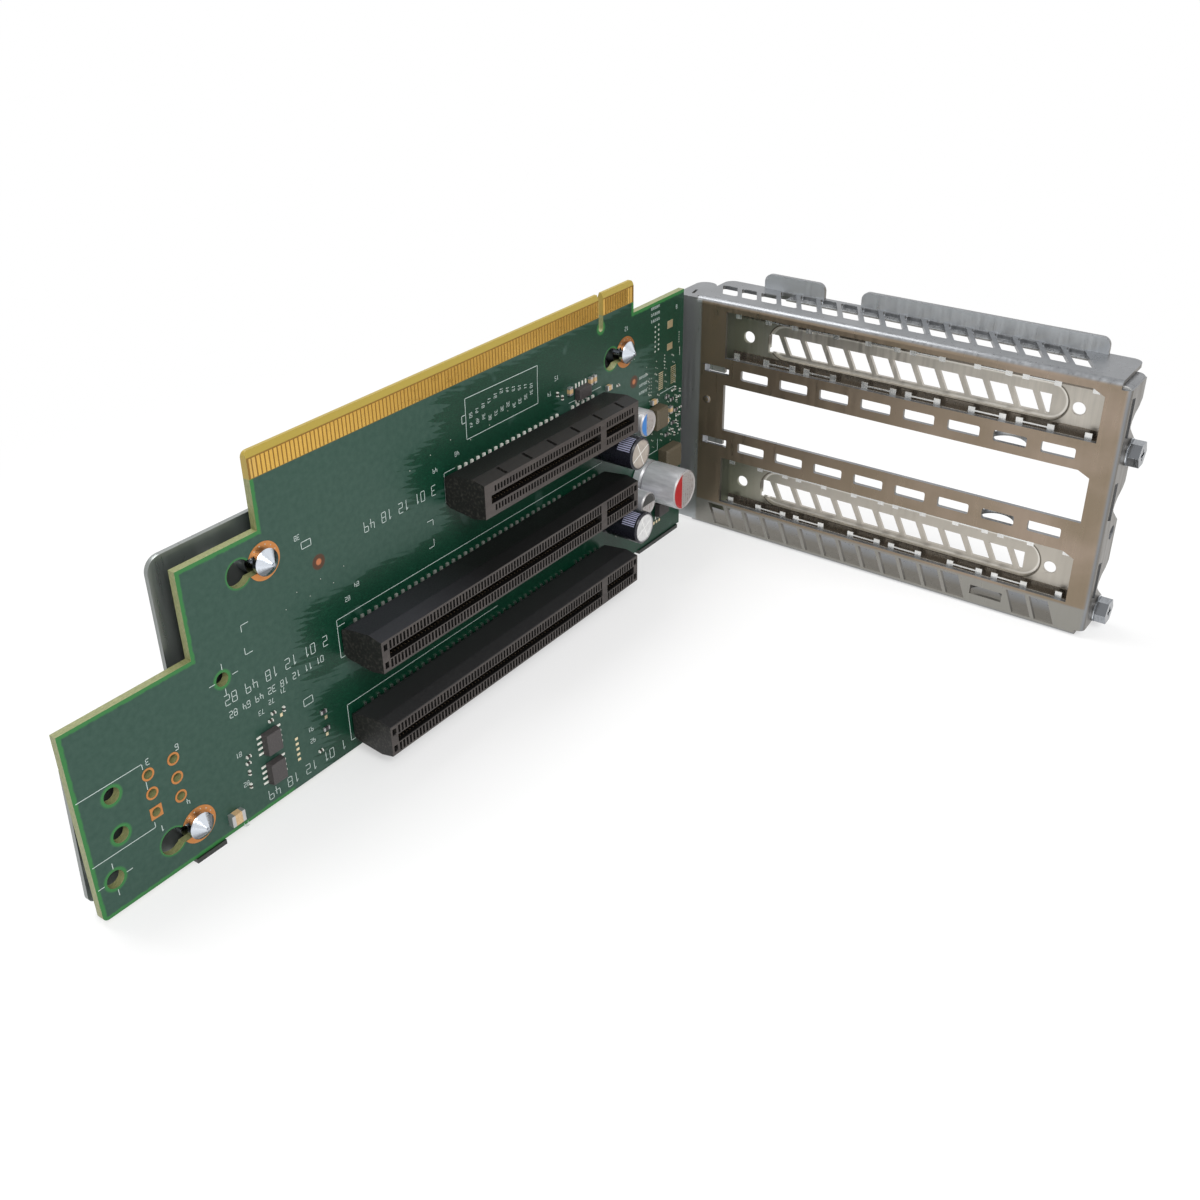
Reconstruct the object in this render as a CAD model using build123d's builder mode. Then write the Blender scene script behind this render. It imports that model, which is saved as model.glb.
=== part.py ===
"""Riser cage: a circuit board with three card connectors on a folded sheet bracket.

Millimetres. +Z is up and the part stands on the bracket's lower flanges.
+X runs along the connectors to the rear panel, -Y is the side the cards enter from.
Sizes are written from a datum on the board's front face: X = 0 at the panel end of the
connectors, Y = 0 on the board face, Z = 0 at the middle connector.
"""
import os

from build123d import *

# card slot standard
slot_pitch = 20.32
contact_pitch = 1.0
long_connector = 89.0
short_connector = 56.0
connector_height = 11.25
card_slot_width = 1.9
card_slot_depth = 8.2
key_near = -12.9
key_far = -15.1
slot_z = {"upper": slot_pitch, "middle": 0.0, "lower": -slot_pitch}

# sheet bracket
sheet = 1.0
bend_outer = 1.6
bend_inner = bend_outer - sheet
panel_x = 41.28
panel_top = slot_pitch + 16.18
floor_z = -slot_pitch - 7.08
side_outer = -110.2
side_inner = side_outer + sheet
flange_reach = 16.0
flange_start = -1.3
flange_end = -108.0
panel_out = panel_x + sheet
flange_x = panel_x + flange_reach

# circuit board
board_thickness = 1.6
tail_reach = 62.6
step_reach = 34.9
tab_reach = 16.3
board_left = -(long_connector + tail_reach)
board_right = panel_x - 4.4
board_bottom = floor_z + sheet
board_top = panel_top + 10.7
shoulder_top = board_top - 8.0
step_top = board_top - 15.3
tail_top = board_top - 33.2
step_left = -(long_connector + step_reach)
tab_left = -(long_connector + tab_reach)
tab_right = 14.4
key_notch = 1.0
key_notch_width = 1.8
edge_bevel_height = 1.3
edge_bevel_depth = 0.45
finger_low = board_top - 5.2
finger_high = board_top - 1.5
finger_width = 0.7
finger_margin = 2.6
finger_count = int((tab_right - tab_left - 2 * finger_margin) / contact_pitch) + 1
pin_hole = 0.9
pin_ring = 1.3
copper = 0.05

# plate behind the board, carried on the studs
plate_gap = 2.6
plate_front = board_thickness + plate_gap
plate_back = plate_front + sheet
plate_left = board_left + 0.4
plate_foot = plate_left + 18.7
plate_top = panel_top - 2.7
ledge_front = -0.4
ledges = [(plate_foot + 1.5, plate_foot + 8.5), (tab_right + 2.6, board_right - 1.38)]

# openings of the rear panel
opening_near = -10.0
opening_far = -104.9
opening_low = {
    "upper": slot_z["upper"] + 1.2,
    "middle": slot_z["middle"] + 1.8,
    "lower": slot_z["lower"] + 1.3,
}
opening_high = {
    "upper": slot_z["upper"] + 13.5,
    "middle": slot_z["middle"] + 14.4,
    "lower": slot_z["lower"] + 14.2,
}
window_rows = [slot_z["upper"] - 2.4, slot_z["middle"] - 2.1]
window_first = -18.8
window_pitch = 11.17
window_width = 7.85
window_height = 2.6
tongue_near = -3.6
tongue_far = -9.6
tongue_slot_far = -11.4
tongue_set = 1.0
bridge_index = 6
bar_vent_pitch = 5.6
bar_rib = 0.95
bar_vent_slant = 2.2
bar_vent_start = opening_near + 3.4

# vents of the top flange and the shielding strip seen through them
top_vent_pitch = 5.65
top_vent_width = 4.35
top_vent_start = opening_near + 4.2
top_vent_near = panel_x + 4.9
top_vent_lean = 0.57
top_vent_margin = 1.3
top_vent_reach = flange_x - top_vent_margin - top_vent_near
short_vent_reach = 6.4
vent_count = 17
strip_thickness = 0.4
strip_far = flange_x - sheet - 0.1
strip_near = strip_far - 2.5
strip_slit = 0.4
strip_start = opening_near - 10.0
strip_end = opening_far + 1.9

# side flange with a waist above every screw
ear_x = panel_x + 11.0
waist_x = panel_x + 5.2
lip_top = panel_top - sheet - 0.1
lip_reach = 2.8
corner_lip_x = flange_x - 3.3

# keyhole studs
stud_seats = {
    "right_stud": (tab_right - 3.4, shoulder_top - 8.8),
    "left_stud": (tab_left + 0.4, step_top - 6.3),
    "lower_stud": (board_left + 22.7, board_bottom + 7.0),
}
seat_places = list(stud_seats.values())
entry_shift = -5.9
entry_radius = 2.75
neck_radius = 1.6
seat_clearance = 0.2
stud_shoulder = 3.1
stud_head = 2.7
stud_rim = -0.95
stud_tip = -3.05
stud_shank = 2.0
ring_radius = 3.85

# fillers, springs and screws
filler_gap = 2.2
filler_thickness = 0.8
filler_x = panel_out + filler_gap
filler_press = 0.7
filler_vent_pitch = 5.9
filler_vent_width = 4.55
filler_vent_slant = 2.25
filler_vent_low = -3.2
filler_vent_high = 1.4
spring_thickness = 0.25
clip_width = 1.6
clip_height = 1.65
clip_period = 27.1
screw_x = ear_x - 3.2
screw_drop = 2.32
screw_z = {name: slot_z[name] - screw_drop for name in slot_z}
screw_radius = 1.45
screw_head_radius = 3.2
screw_head_height = 3.2
screw_clearance = 0.25

# whole part, for the frame at the middle of its base
x_low = board_left
x_high = flange_x
y_low = side_outer - screw_head_height
y_high = plate_back
shift_x = -(x_low + x_high) / 2
shift_y = -(y_low + y_high) / 2
shift_z = -floor_z


def facing(y):
    """Plane parallel to the board; sketch axes are X and Z, it extrudes towards -Y."""
    return Plane((shift_x, y + shift_y, shift_z), x_dir=(1, 0, 0), z_dir=(0, -1, 0))


def across(x):
    """Plane parallel to the rear panel; sketch axes are Y and Z, it extrudes towards +X."""
    return Plane((x + shift_x, shift_y, shift_z), x_dir=(0, 1, 0), z_dir=(1, 0, 0))


def level(z):
    """Horizontal plane; sketch axes are X and Y, it extrudes upwards."""
    return Plane((shift_x, shift_y, z + shift_z))


def turning(x, z):
    """Half section for a turned piece along -Y at (x, z); sketch axes are radius and -Y."""
    return Plane((x + shift_x, shift_y, z + shift_z), x_dir=(1, 0, 0), z_dir=(0, 0, 1))


def turn_axis(x, z):
    return Axis((x + shift_x, shift_y, z + shift_z), (0, 1, 0))


def span(x0, x1, y0, y1):
    """A rectangle between two corners in the current sketch."""
    with Locations(((x0 + x1) / 2, (y0 + y1) / 2)):
        Rectangle(abs(x1 - x0), abs(y1 - y0))


def outline(points, mode=Mode.ADD):
    """A closed polygon through the points in the current sketch."""
    Polygon(*points, align=None, mode=mode)


def corners_near(sketch, places):
    """Vertices of a sketch that lie at the given places in its own axes."""
    picked = []
    for vertex in sketch.vertices():
        for place_x, place_y in places:
            if abs(vertex.X - place_x) < 0.01 and abs(vertex.Y - place_y) < 0.01:
                picked.append(vertex)
    return picked


os.makedirs("parts", exist_ok=True)

# riser board
board_points = [
    (board_left, board_bottom),
    (board_right, board_bottom),
    (board_right, shoulder_top),
    (tab_right, shoulder_top),
    (tab_right, board_top),
    (tab_left, board_top),
    (tab_left, step_top),
    (step_left, step_top),
    (step_left, tail_top),
    (board_left, tail_top),
]
tooling_hole = (step_left + 5.7, 7.0, 1.4)
corner_hole = (board_left + 4.1, -19.2, 1.8)
peg_holes = [(board_left + 7.1, -2.5, 1.6), (board_left + 7.1, -11.1, 1.6)]
round_holes = [tooling_hole, corner_hole] + peg_holes
pin_places = []
pin_pitch = 4.2
for pin_x in (board_left + 14.7, board_left + 20.2):
    for row in range(3):
        pin_places.append((pin_x, -2.7 - row * pin_pitch))

with BuildPart() as riser_board:
    with BuildSketch(facing(board_thickness)) as board_sketch:
        outline(board_points)
        fillet(corners_near(board_sketch, [board_points[0]]), 1.2)
        fillet(corners_near(board_sketch, [board_points[4], board_points[5]]), 0.9)
    extrude(amount=board_thickness)
    with BuildSketch(facing(board_thickness)):
        notch_half = key_notch_width / 2
        span(key_notch - notch_half, key_notch + notch_half, shoulder_top, board_top + 1)
        with Locations((key_notch, shoulder_top)):
            Circle(notch_half)
        for seat_x, seat_z in seat_places:
            with Locations((seat_x + entry_shift, seat_z)):
                Circle(entry_radius)
            with Locations((seat_x, seat_z)):
                Circle(neck_radius + seat_clearance)
            half_neck = neck_radius + seat_clearance
            span(seat_x + entry_shift, seat_x, seat_z - half_neck, seat_z + half_neck)
        for hole_x, hole_z, hole_r in round_holes:
            with Locations((hole_x, hole_z)):
                Circle(hole_r)
        with Locations(*pin_places):
            Circle(pin_hole)
    extrude(amount=board_thickness, mode=Mode.SUBTRACT)
    with BuildSketch(across(tab_left - 1)):
        bevel_low = board_top - edge_bevel_height
        for face_y, inward in ((0, 1), (board_thickness, -1)):
            outline([
                (face_y, bevel_low),
                (face_y + inward * edge_bevel_depth, board_top),
                (face_y - inward, board_top + 1),
                (face_y - inward, bevel_low),
            ])
    extrude(amount=tab_right - tab_left + 2, mode=Mode.SUBTRACT)
riser_board.part.label = "riser_board"
export_step(riser_board.part, "parts/riser_board.step")

# gold contacts on both faces of the tab
finger_places = []
for index in range(finger_count):
    finger_x = tab_left + finger_margin + index * contact_pitch
    if abs(finger_x - key_notch) > key_notch_width / 2 + finger_width / 2 + 0.1:
        finger_places.append((finger_x, (finger_low + finger_high) / 2))

with BuildPart() as edge_contacts:
    with BuildSketch(facing(0)):
        with Locations(*finger_places):
            Rectangle(finger_width, finger_high - finger_low)
    extrude(amount=copper)
    with BuildSketch(facing(board_thickness + copper)):
        with Locations(*finger_places):
            Rectangle(finger_width, finger_high - finger_low)
    extrude(amount=copper)
edge_contacts.part.label = "edge_contacts"
export_step(edge_contacts.part, "parts/edge_contacts.step")

# copper rings round the stud seats and the pin holes
with BuildPart() as copper_rings:
    with BuildSketch(facing(0)):
        for seat_x, seat_z in seat_places:
            with Locations((seat_x, seat_z)):
                Circle(ring_radius)
        with Locations(*pin_places):
            Circle(pin_ring)
        with Locations(pin_places[2]):
            Rectangle(2 * pin_ring, 2 * pin_ring)
        for seat_x, seat_z in seat_places:
            half_neck = neck_radius + seat_clearance
            with Locations((seat_x, seat_z)):
                Circle(half_neck, mode=Mode.SUBTRACT)
            with Locations((seat_x + entry_shift / 2, seat_z)):
                Rectangle(-entry_shift, 2 * half_neck, mode=Mode.SUBTRACT)
            with Locations((seat_x + entry_shift, seat_z)):
                Circle(entry_radius, mode=Mode.SUBTRACT)
        with Locations(*pin_places):
            Circle(pin_hole, mode=Mode.SUBTRACT)
    extrude(amount=copper)
copper_rings.part.label = "copper_rings"
export_step(copper_rings.part, "parts/copper_rings.step")

# folded bracket
fold_x = panel_x - 3.0
fold_top = panel_top - 0.5
plate_points = [
    (fold_x, floor_z + sheet),
    (fold_x, fold_top),
    (tab_right + 5.6, fold_top),
    (tab_right - 0.4, plate_top),
    (step_left - 2.3, plate_top),
    (step_left - 2.3, tail_top - 4.0),
    (plate_left + 3.2, tail_top - 4.0),
    (plate_left + 1.4, tail_top - 10.0),
    (plate_left, floor_z + 2.8),
    (plate_foot - 1.5, floor_z + 2.8),
    (plate_foot, floor_z + sheet),
]
bar_vent_width = bar_vent_pitch - bar_rib
bar_vent_low = floor_z + 1.5
bar_vent_high = opening_low["lower"] - 1.2
bump_half = 4.0
bump_y = window_first - bridge_index * window_pitch
bar_vents = []
for index in range(vent_count):
    vent_y = bar_vent_start - index * bar_vent_pitch
    if abs(vent_y - bar_vent_width / 2 - bar_vent_slant / 2 - bump_y) > 6.4:
        bar_vents.append(vent_y)
ear_tops = [screw_z[name] + 1.1 for name in screw_z]
waist_curve = [
    (ear_x + 1, 11.2),
    (ear_x, 10.7),
    (ear_x - 1.6, 9.3),
    (waist_x + 1.7, 8.3),
    (waist_x + 0.4, 7.0),
    (waist_x, 5.9),
    (waist_x + 0.4, 5.2),
    (ear_x - 3.0, 3.3),
    (ear_x, 1.0),
    (ear_x + 1, 0.2),
]
bridge_rise = 1.9

with BuildPart() as bracket:
    # rear panel with its top and bottom flanges, one folded channel
    with BuildSketch(facing(flange_start)) as channel:
        span(panel_x, flange_x, floor_z, panel_top)
        fillet(corners_near(channel, [(panel_x, floor_z), (panel_x, panel_top)]), bend_outer)
    extrude(amount=flange_start - flange_end)
    upright = bracket.edges().filter_by(Axis.Z)
    far_corner_x = flange_x + shift_x
    far_corners = [edge for edge in upright if abs(edge.center().X - far_corner_x) < 0.01]
    fillet(far_corners, 2.5)
    with BuildSketch(facing(flange_start)) as hollow:
        span(panel_out, flange_x + 5, floor_z + sheet, panel_top - sheet)
        inner_corners = [(panel_out, floor_z + sheet), (panel_out, panel_top - sheet)]
        fillet(corners_near(hollow, inner_corners), bend_inner)
    extrude(amount=flange_start - flange_end, mode=Mode.SUBTRACT)
    # side flange, with a lip bent inwards under the top flange
    with BuildSketch(level(floor_z + bend_outer + 0.2)):
        span(panel_x, panel_out, side_outer, flange_end + 6)
        span(panel_x, ear_x, side_outer, side_inner)
    extrude(amount=panel_top - floor_z - 2 * bend_outer - 0.4)
    side_edges = bracket.edges().filter_by(Axis.Z)
    outer_edge = side_edges.sort_by_distance((panel_x + shift_x, side_outer + shift_y, shift_z))[0]
    fillet(outer_edge, bend_outer)
    with BuildSketch(across(panel_out)) as lip:
        span(side_outer, side_outer + lip_reach, lip_top - sheet, lip_top)
        span(side_outer, side_inner, lip_top - 3 * sheet, lip_top)
        fillet(corners_near(lip, [(side_outer, lip_top)]), bend_outer)
        fillet(corners_near(lip, [(side_inner, lip_top - sheet)]), bend_inner)
    extrude(amount=ear_x - panel_out)
    # plate behind the board and the fold that joins it to the panel
    with BuildSketch(facing(plate_back)) as plate_sketch:
        outline(plate_points)
        fillet(corners_near(plate_sketch, [plate_points[4]]), 3.0)
        fillet(corners_near(plate_sketch, [plate_points[6], plate_points[8]]), 1.5)
        with Locations(*seat_places):
            Circle(stud_shank, mode=Mode.SUBTRACT)
    extrude(amount=sheet)
    with BuildSketch(level(floor_z + sheet)) as fold:
        span(fold_x, panel_out, plate_front, plate_back)
        span(panel_x, panel_out, flange_start, plate_back)
        fillet(corners_near(fold, [(panel_out, plate_back)]), bend_outer)
        fillet(corners_near(fold, [(panel_x, plate_front)]), bend_inner)
    extrude(amount=fold_top - floor_z - sheet)
    # slotted lip bent back from the top of the fold
    with BuildSketch(level(fold_top - sheet)) as corner_lip:
        span(panel_x, corner_lip_x, flange_start + 0.7, plate_back)
        lip_corners = [(corner_lip_x, flange_start + 0.7), (corner_lip_x, plate_back)]
        fillet(corners_near(corner_lip, lip_corners), 2.8)
        outline([
            (panel_out + 1.4, 1.2),
            (panel_out + 4.6, 1.9),
            (panel_out + 4.5, 2.6),
            (panel_out + 1.3, 1.9),
        ], Mode.SUBTRACT)
    extrude(amount=sheet)
    # ledges folded under the lower edge of the board
    for ledge_x0, ledge_x1 in ledges:
        with BuildSketch(level(floor_z)):
            span(ledge_x0, ledge_x1, ledge_front, plate_back)
        extrude(amount=sheet)
    # slot openings, with the outer upper corner cut off
    with BuildSketch(across(panel_x - 1)):
        for name in opening_low:
            low = opening_low[name]
            high = opening_high[name]
            outline([
                (opening_near, low),
                (opening_near, high),
                (opening_far + 2.8, high),
                (opening_far, high - 1.4),
                (opening_far, low),
            ])
        for row_z in window_rows:
            for index in range(8):
                with Locations((window_first - index * window_pitch, row_z)):
                    RectangleRounded(window_width, window_height, 0.5)
            span(tongue_near, tongue_slot_far, row_z - 0.8, row_z + 1.2)
        for vent_y in bar_vents:
            outline([
                (vent_y, bar_vent_high),
                (vent_y - bar_vent_width, bar_vent_high),
                (vent_y - bar_vent_width - bar_vent_slant, bar_vent_low),
                (vent_y - bar_vent_slant, bar_vent_low),
            ])
        with Locations((bump_y, window_rows[1] - slot_pitch - 0.5)):
            Rectangle(2 * bump_half, 2.4)
    extrude(amount=sheet + 2, mode=Mode.SUBTRACT)
    # tongues lanced back behind the slots beside the windows
    for row_z in window_rows:
        with BuildSketch(level(row_z - 0.7)):
            outline([
                (panel_x, tongue_near + 0.1),
                (panel_out, tongue_near + 0.1),
                (panel_out + tongue_set, tongue_near - 1.4),
                (panel_out + tongue_set, tongue_far),
                (panel_x + tongue_set, tongue_far),
                (panel_x + tongue_set, tongue_near - 1.6),
                (panel_x, tongue_near - 0.6),
            ])
        extrude(amount=1.7)
    # bowed bridges that keep neighbouring card brackets apart
    for bridge_z in (window_rows[0], window_rows[1], window_rows[1] - slot_pitch):
        with BuildSketch(level(bridge_z - 0.5)):
            with BuildLine():
                ThreePointArc(
                    (panel_out - 0.9, bump_y - bump_half),
                    (panel_out + bridge_rise, bump_y),
                    (panel_out - 0.9, bump_y + bump_half),
                )
                Line((panel_out - 0.9, bump_y + bump_half), (panel_out - 0.1, bump_y + bump_half))
                ThreePointArc(
                    (panel_out - 0.1, bump_y + bump_half),
                    (panel_out + bridge_rise + 0.8, bump_y),
                    (panel_out - 0.1, bump_y - bump_half),
                )
                Line((panel_out - 0.1, bump_y - bump_half), (panel_out - 0.9, bump_y - bump_half))
            make_face()
        extrude(amount=1.1)
    # slanted vents of the top flange
    with BuildSketch(level(panel_top - sheet - 1)) as top_vents:
        for index in range(vent_count):
            vent_y = top_vent_start - index * top_vent_pitch
            reach = short_vent_reach if index < 3 else top_vent_reach
            outline([
                (top_vent_near, vent_y),
                (top_vent_near, vent_y - top_vent_width),
                (top_vent_near + reach, vent_y - top_vent_width + top_vent_lean * reach),
                (top_vent_near + reach, vent_y + top_vent_lean * reach),
            ])
        fillet(top_vents.vertices(), 0.6)
    extrude(amount=sheet + 2, mode=Mode.SUBTRACT)
    # raised tabs on the far edge of the top flange
    with BuildSketch(across(flange_x - sheet)):
        for tab_y0, tab_y1 in ((-12.3, -29.3), (-39.4, -100.2)):
            with Locations(((tab_y0 + tab_y1) / 2, panel_top + 0.9)):
                RectangleRounded(abs(tab_y1 - tab_y0), 5.8, 2.0)
    extrude(amount=sheet)
    # waisted edge, shallow recesses and screw holes of the side flange
    with BuildSketch(facing(side_inner + 1)):
        for top_z in ear_tops:
            outline([(x, top_z + rise) for x, rise in waist_curve])
        for name in screw_z:
            with Locations((screw_x, screw_z[name])):
                Circle(screw_radius + screw_clearance)
    extrude(amount=sheet + 2, mode=Mode.SUBTRACT)
    with BuildSketch(facing(side_outer + 0.4)):
        for top_z in ear_tops:
            outline([
                (panel_x + 1.8, top_z + 13.4),
                (waist_x - 0.6, top_z + 12.8),
                (waist_x - 0.6, top_z + 3.2),
                (panel_x + 1.8, top_z + 4.4),
            ])
    extrude(amount=1, mode=Mode.SUBTRACT)
bracket.part.label = "bracket"
export_step(bracket.part, "parts/bracket.step")

# shielding strip under the top flange, with two long slits
with BuildPart() as top_strip:
    with BuildSketch(level(panel_top - sheet - strip_thickness)):
        span(strip_near, strip_far, strip_start, strip_end)
        for slit_x in (strip_near + 2 * strip_slit, strip_near + 4 * strip_slit):
            with Locations((slit_x, (strip_start + strip_end) / 2)):
                Rectangle(strip_slit, strip_start - strip_end - 2, mode=Mode.SUBTRACT)
    extrude(amount=strip_thickness)
top_strip.part.label = "top_strip"
export_step(top_strip.part, "parts/top_strip.step")

# keyhole studs, pressed into the plate
stud_section = [
    (0, plate_back),
    (stud_shank, plate_back),
    (stud_shank, plate_front),
    (stud_shoulder, plate_front),
    (stud_shoulder, board_thickness),
    (neck_radius, board_thickness),
    (neck_radius, -copper - 0.02),
    (stud_head, -copper - 0.02),
    (stud_head, stud_rim),
    (stud_head - 0.15, stud_rim - 0.15),
    (0.55, stud_tip + 0.35),
    (0.4, stud_tip + 0.1),
    (0, stud_tip),
]
for stud_name, (seat_x, seat_z) in stud_seats.items():
    with BuildPart() as stud:
        with BuildSketch(turning(seat_x, seat_z)):
            outline(stud_section)
        revolve(axis=turn_axis(seat_x, seat_z))
    stud.part.label = stud_name
    export_step(stud.part, f"parts/{stud_name}.step")

# card connectors
base_lift = 0.4


def housing_section(centre_z, wide):
    """Closed section of a connector housing, in Y and Z."""
    side = [
        (-base_lift, 2.8 + wide),
        (-1.4, 3.5 + wide),
        (-8.0, 4.3 + wide),
        (-connector_height, 3.6 + wide),
    ]
    upper = [(y, centre_z + z) for y, z in side]
    lower = [(y, centre_z - z) for y, z in reversed(side)]
    return upper + lower


def cut_card_slot(length, centre_z):
    """Card slot in two parts either side of the key rib."""
    half = card_slot_width / 2
    with BuildSketch(facing(-connector_height + card_slot_depth)) as slots:
        span(key_near, -1.6, centre_z - half, centre_z + half)
        span(-length + 2.1, key_far, centre_z - half, centre_z + half)
    extrude(slots.sketch, amount=card_slot_depth + 1, mode=Mode.SUBTRACT)


def add_feet(length, centre_z):
    """Feet that stand the housing on the board."""
    with BuildSketch(facing(0)) as feet:
        for foot_x in (-2.0, -length / 2, -length + 2.0):
            span(foot_x - 1.5, foot_x + 1.5, centre_z - 2.2, centre_z + 2.2)
    extrude(feet.sketch, amount=base_lift)


with BuildPart() as upper_connector:
    with BuildSketch(across(-short_connector)):
        outline(housing_section(slot_pitch, 0.25))
    extrude(amount=short_connector)
    cut_card_slot(short_connector, slot_pitch)
    add_feet(short_connector, slot_pitch)
    # slanted notches down the upper chamfer
    with BuildSketch(across(-short_connector)):
        outline([
            (-8.3, slot_pitch + 5.2),
            (-8.3, slot_pitch + 3.9),
            (-10.9, slot_pitch + 3.3),
            (-10.9, slot_pitch + 5.2),
        ])
    notch_cut = extrude(amount=short_connector, mode=Mode.PRIVATE)
    with BuildSketch(facing(-7)):
        for index in range(6):
            notch_x = -48.3 + index * 8.55
            span(notch_x - 0.4, notch_x + 0.4, slot_pitch + 3.0, slot_pitch + 6.0)
    notch_lines = extrude(amount=5, mode=Mode.PRIVATE)
    add(notch_cut & notch_lines, mode=Mode.SUBTRACT)
upper_connector.part.label = "upper_connector"
export_step(upper_connector.part, "parts/upper_connector.step")


def cut_corner_pockets(length, centre_z):
    """Square pockets at the ends of a long connector's face."""
    with BuildSketch(facing(-connector_height + 2.5)) as pockets:
        for pocket_x in (-1.05, -length + 1.1):
            for pocket_z in (-2.05, 2.05):
                with Locations((pocket_x, centre_z + pocket_z)):
                    Rectangle(1.0, 1.4)
    extrude(pockets.sketch, amount=4, mode=Mode.SUBTRACT)


with BuildPart() as middle_connector:
    with BuildSketch(across(-long_connector)):
        outline(housing_section(0, 0))
    extrude(amount=long_connector)
    cut_card_slot(long_connector, 0)
    cut_corner_pockets(long_connector, 0)
    add_feet(long_connector, 0)
middle_connector.part.label = "middle_connector"
export_step(middle_connector.part, "parts/middle_connector.step")

with BuildPart() as lower_connector:
    with BuildSketch(across(-long_connector)):
        outline(housing_section(-slot_pitch, 0))
    extrude(amount=long_connector)
    cut_card_slot(long_connector, -slot_pitch)
    cut_corner_pockets(long_connector, -slot_pitch)
    add_feet(long_connector, -slot_pitch)
lower_connector.part.label = "lower_connector"
export_step(lower_connector.part, "parts/lower_connector.step")


def tail_places(length, centre_z, reach):
    """Places of the solder tails along both sides of a connector."""
    places = []
    tail_x = -2.85
    while tail_x > -length + 3.2:
        if abs(tail_x - (key_near + key_far) / 2) > 1.2:
            places.append((tail_x, centre_z + reach))
            places.append((tail_x, centre_z - reach))
        tail_x -= 2 * contact_pitch
    return places


tail_groups = {
    "upper": (short_connector, 3.25),
    "middle": (long_connector, 3.0),
    "lower": (long_connector, 3.0),
}
for name, (length, reach) in tail_groups.items():
    with BuildPart() as tails:
        with BuildSketch(facing(0)):
            with Locations(*tail_places(length, slot_z[name], reach)):
                Rectangle(0.7, 0.8)
        extrude(amount=base_lift)
    tails.part.label = f"{name}_tails"
    export_step(tails.part, f"parts/{name}_tails.step")


def can_section(radius, height, groove):
    """Half section of a rolled can: base, groove near the base and rounded rim."""
    return [
        (0, 0),
        (radius - 0.3, 0),
        (radius, -0.3),
        (radius, -groove + 0.5),
        (radius - 0.45, -groove),
        (radius, -groove - 0.5),
        (radius, -height + 0.35),
        (radius - 0.35, -height),
        (radius - 0.6, -height),
        (radius - 0.75, -height + 0.12),
        (0, -height + 0.12),
    ]


# centre on the board, radius, height and groove of each can
capacitors = {
    "large_capacitor": (18.8, -0.29 * slot_pitch, 5.15, 13.0, 2.6),
    "upper_silver_capacitor": (9.5, 0.7 * slot_pitch, 3.3, 8.0, 1.6),
    "lower_silver_capacitor": (9.8, -0.375 * slot_pitch, 3.1, 8.0, 1.6),
    "upper_black_capacitor": (0.1, 0.527 * slot_pitch, 4.05, 12.0, 2.2),
    "lower_black_capacitor": (2.1, -0.487 * slot_pitch, 4.05, 12.0, 2.2),
}
for can_name, (can_x, can_z, radius, height, groove) in capacitors.items():
    with BuildPart() as can:
        with BuildSketch(turning(can_x, can_z)):
            outline(can_section(radius, height, groove))
        revolve(axis=turn_axis(can_x, can_z))
    can.part.label = can_name
    export_step(can.part, f"parts/{can_name}.step")

# inductors
inductors = {
    "upper_inductor": (23.9, 9.4, 5.0, 5.6),
    "lower_inductor": (29.6, -3.7, 7.0, 6.2),
}
for inductor_name, (coil_x, coil_z, coil_w, coil_h) in inductors.items():
    with BuildPart() as inductor:
        with BuildSketch(facing(0)):
            with Locations((coil_x, coil_z)):
                Rectangle(coil_w, coil_h)
        extrude(amount=3.0)
        chamfer(inductor.faces().sort_by(Axis.Y)[0].edges(), 0.5)
    inductor.part.label = inductor_name
    export_step(inductor.part, f"parts/{inductor_name}.step")

# chips: centre on the board, width and height; the bodies stand on their leads
chip_lift = 0.15
chip_height = 1.5
chips = {
    "upper_left_chip": (-long_connector - 21.1, -11.4, 3.9, 5.0),
    "lower_left_chip": (-long_connector - 21.1, -18.4, 3.9, 5.0),
    "slot_chip": (-7.4, slot_z["upper"] + 6.15, 5.0, 2.8),
    "power_chip": (27.0, -17.6, 5.0, 4.0),
}
for chip_name, (chip_x, chip_z, chip_w, chip_h) in chips.items():
    with BuildPart() as chip:
        with BuildSketch(facing(-chip_lift)):
            with Locations((chip_x, chip_z)):
                Rectangle(chip_w, chip_h)
        extrude(amount=chip_height, taper=6)
    chip.part.label = chip_name
    export_step(chip.part, f"parts/{chip_name}.step")


def lead_places():
    """Centre, width and height of every chip lead."""
    places = []
    for chip_name in ("upper_left_chip", "lower_left_chip"):
        chip_x, chip_z, chip_w, chip_h = chips[chip_name]
        for side in (-1, 1):
            for index in range(4):
                lead_x = chip_x + side * (chip_w / 2 + 0.35)
                places.append((lead_x, chip_z + (index - 1.5) * 1.27, 1.4, 0.42))
    for chip_name in ("slot_chip", "power_chip"):
        chip_x, chip_z, chip_w, chip_h = chips[chip_name]
        for side in (-1, 1):
            for index in range(4):
                lead_z = chip_z + side * (chip_h / 2 + 0.3)
                places.append((chip_x + (index - 1.5) * 1.27, lead_z, 0.42, 1.4))
    return places


with BuildPart() as chip_leads:
    with BuildSketch(facing(0)):
        for lead_x, lead_z, lead_w, lead_h in lead_places():
            with Locations((lead_x, lead_z)):
                Rectangle(lead_w, lead_h)
    extrude(amount=chip_lift)
chip_leads.part.label = "chip_leads"
export_step(chip_leads.part, "parts/chip_leads.step")

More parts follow.
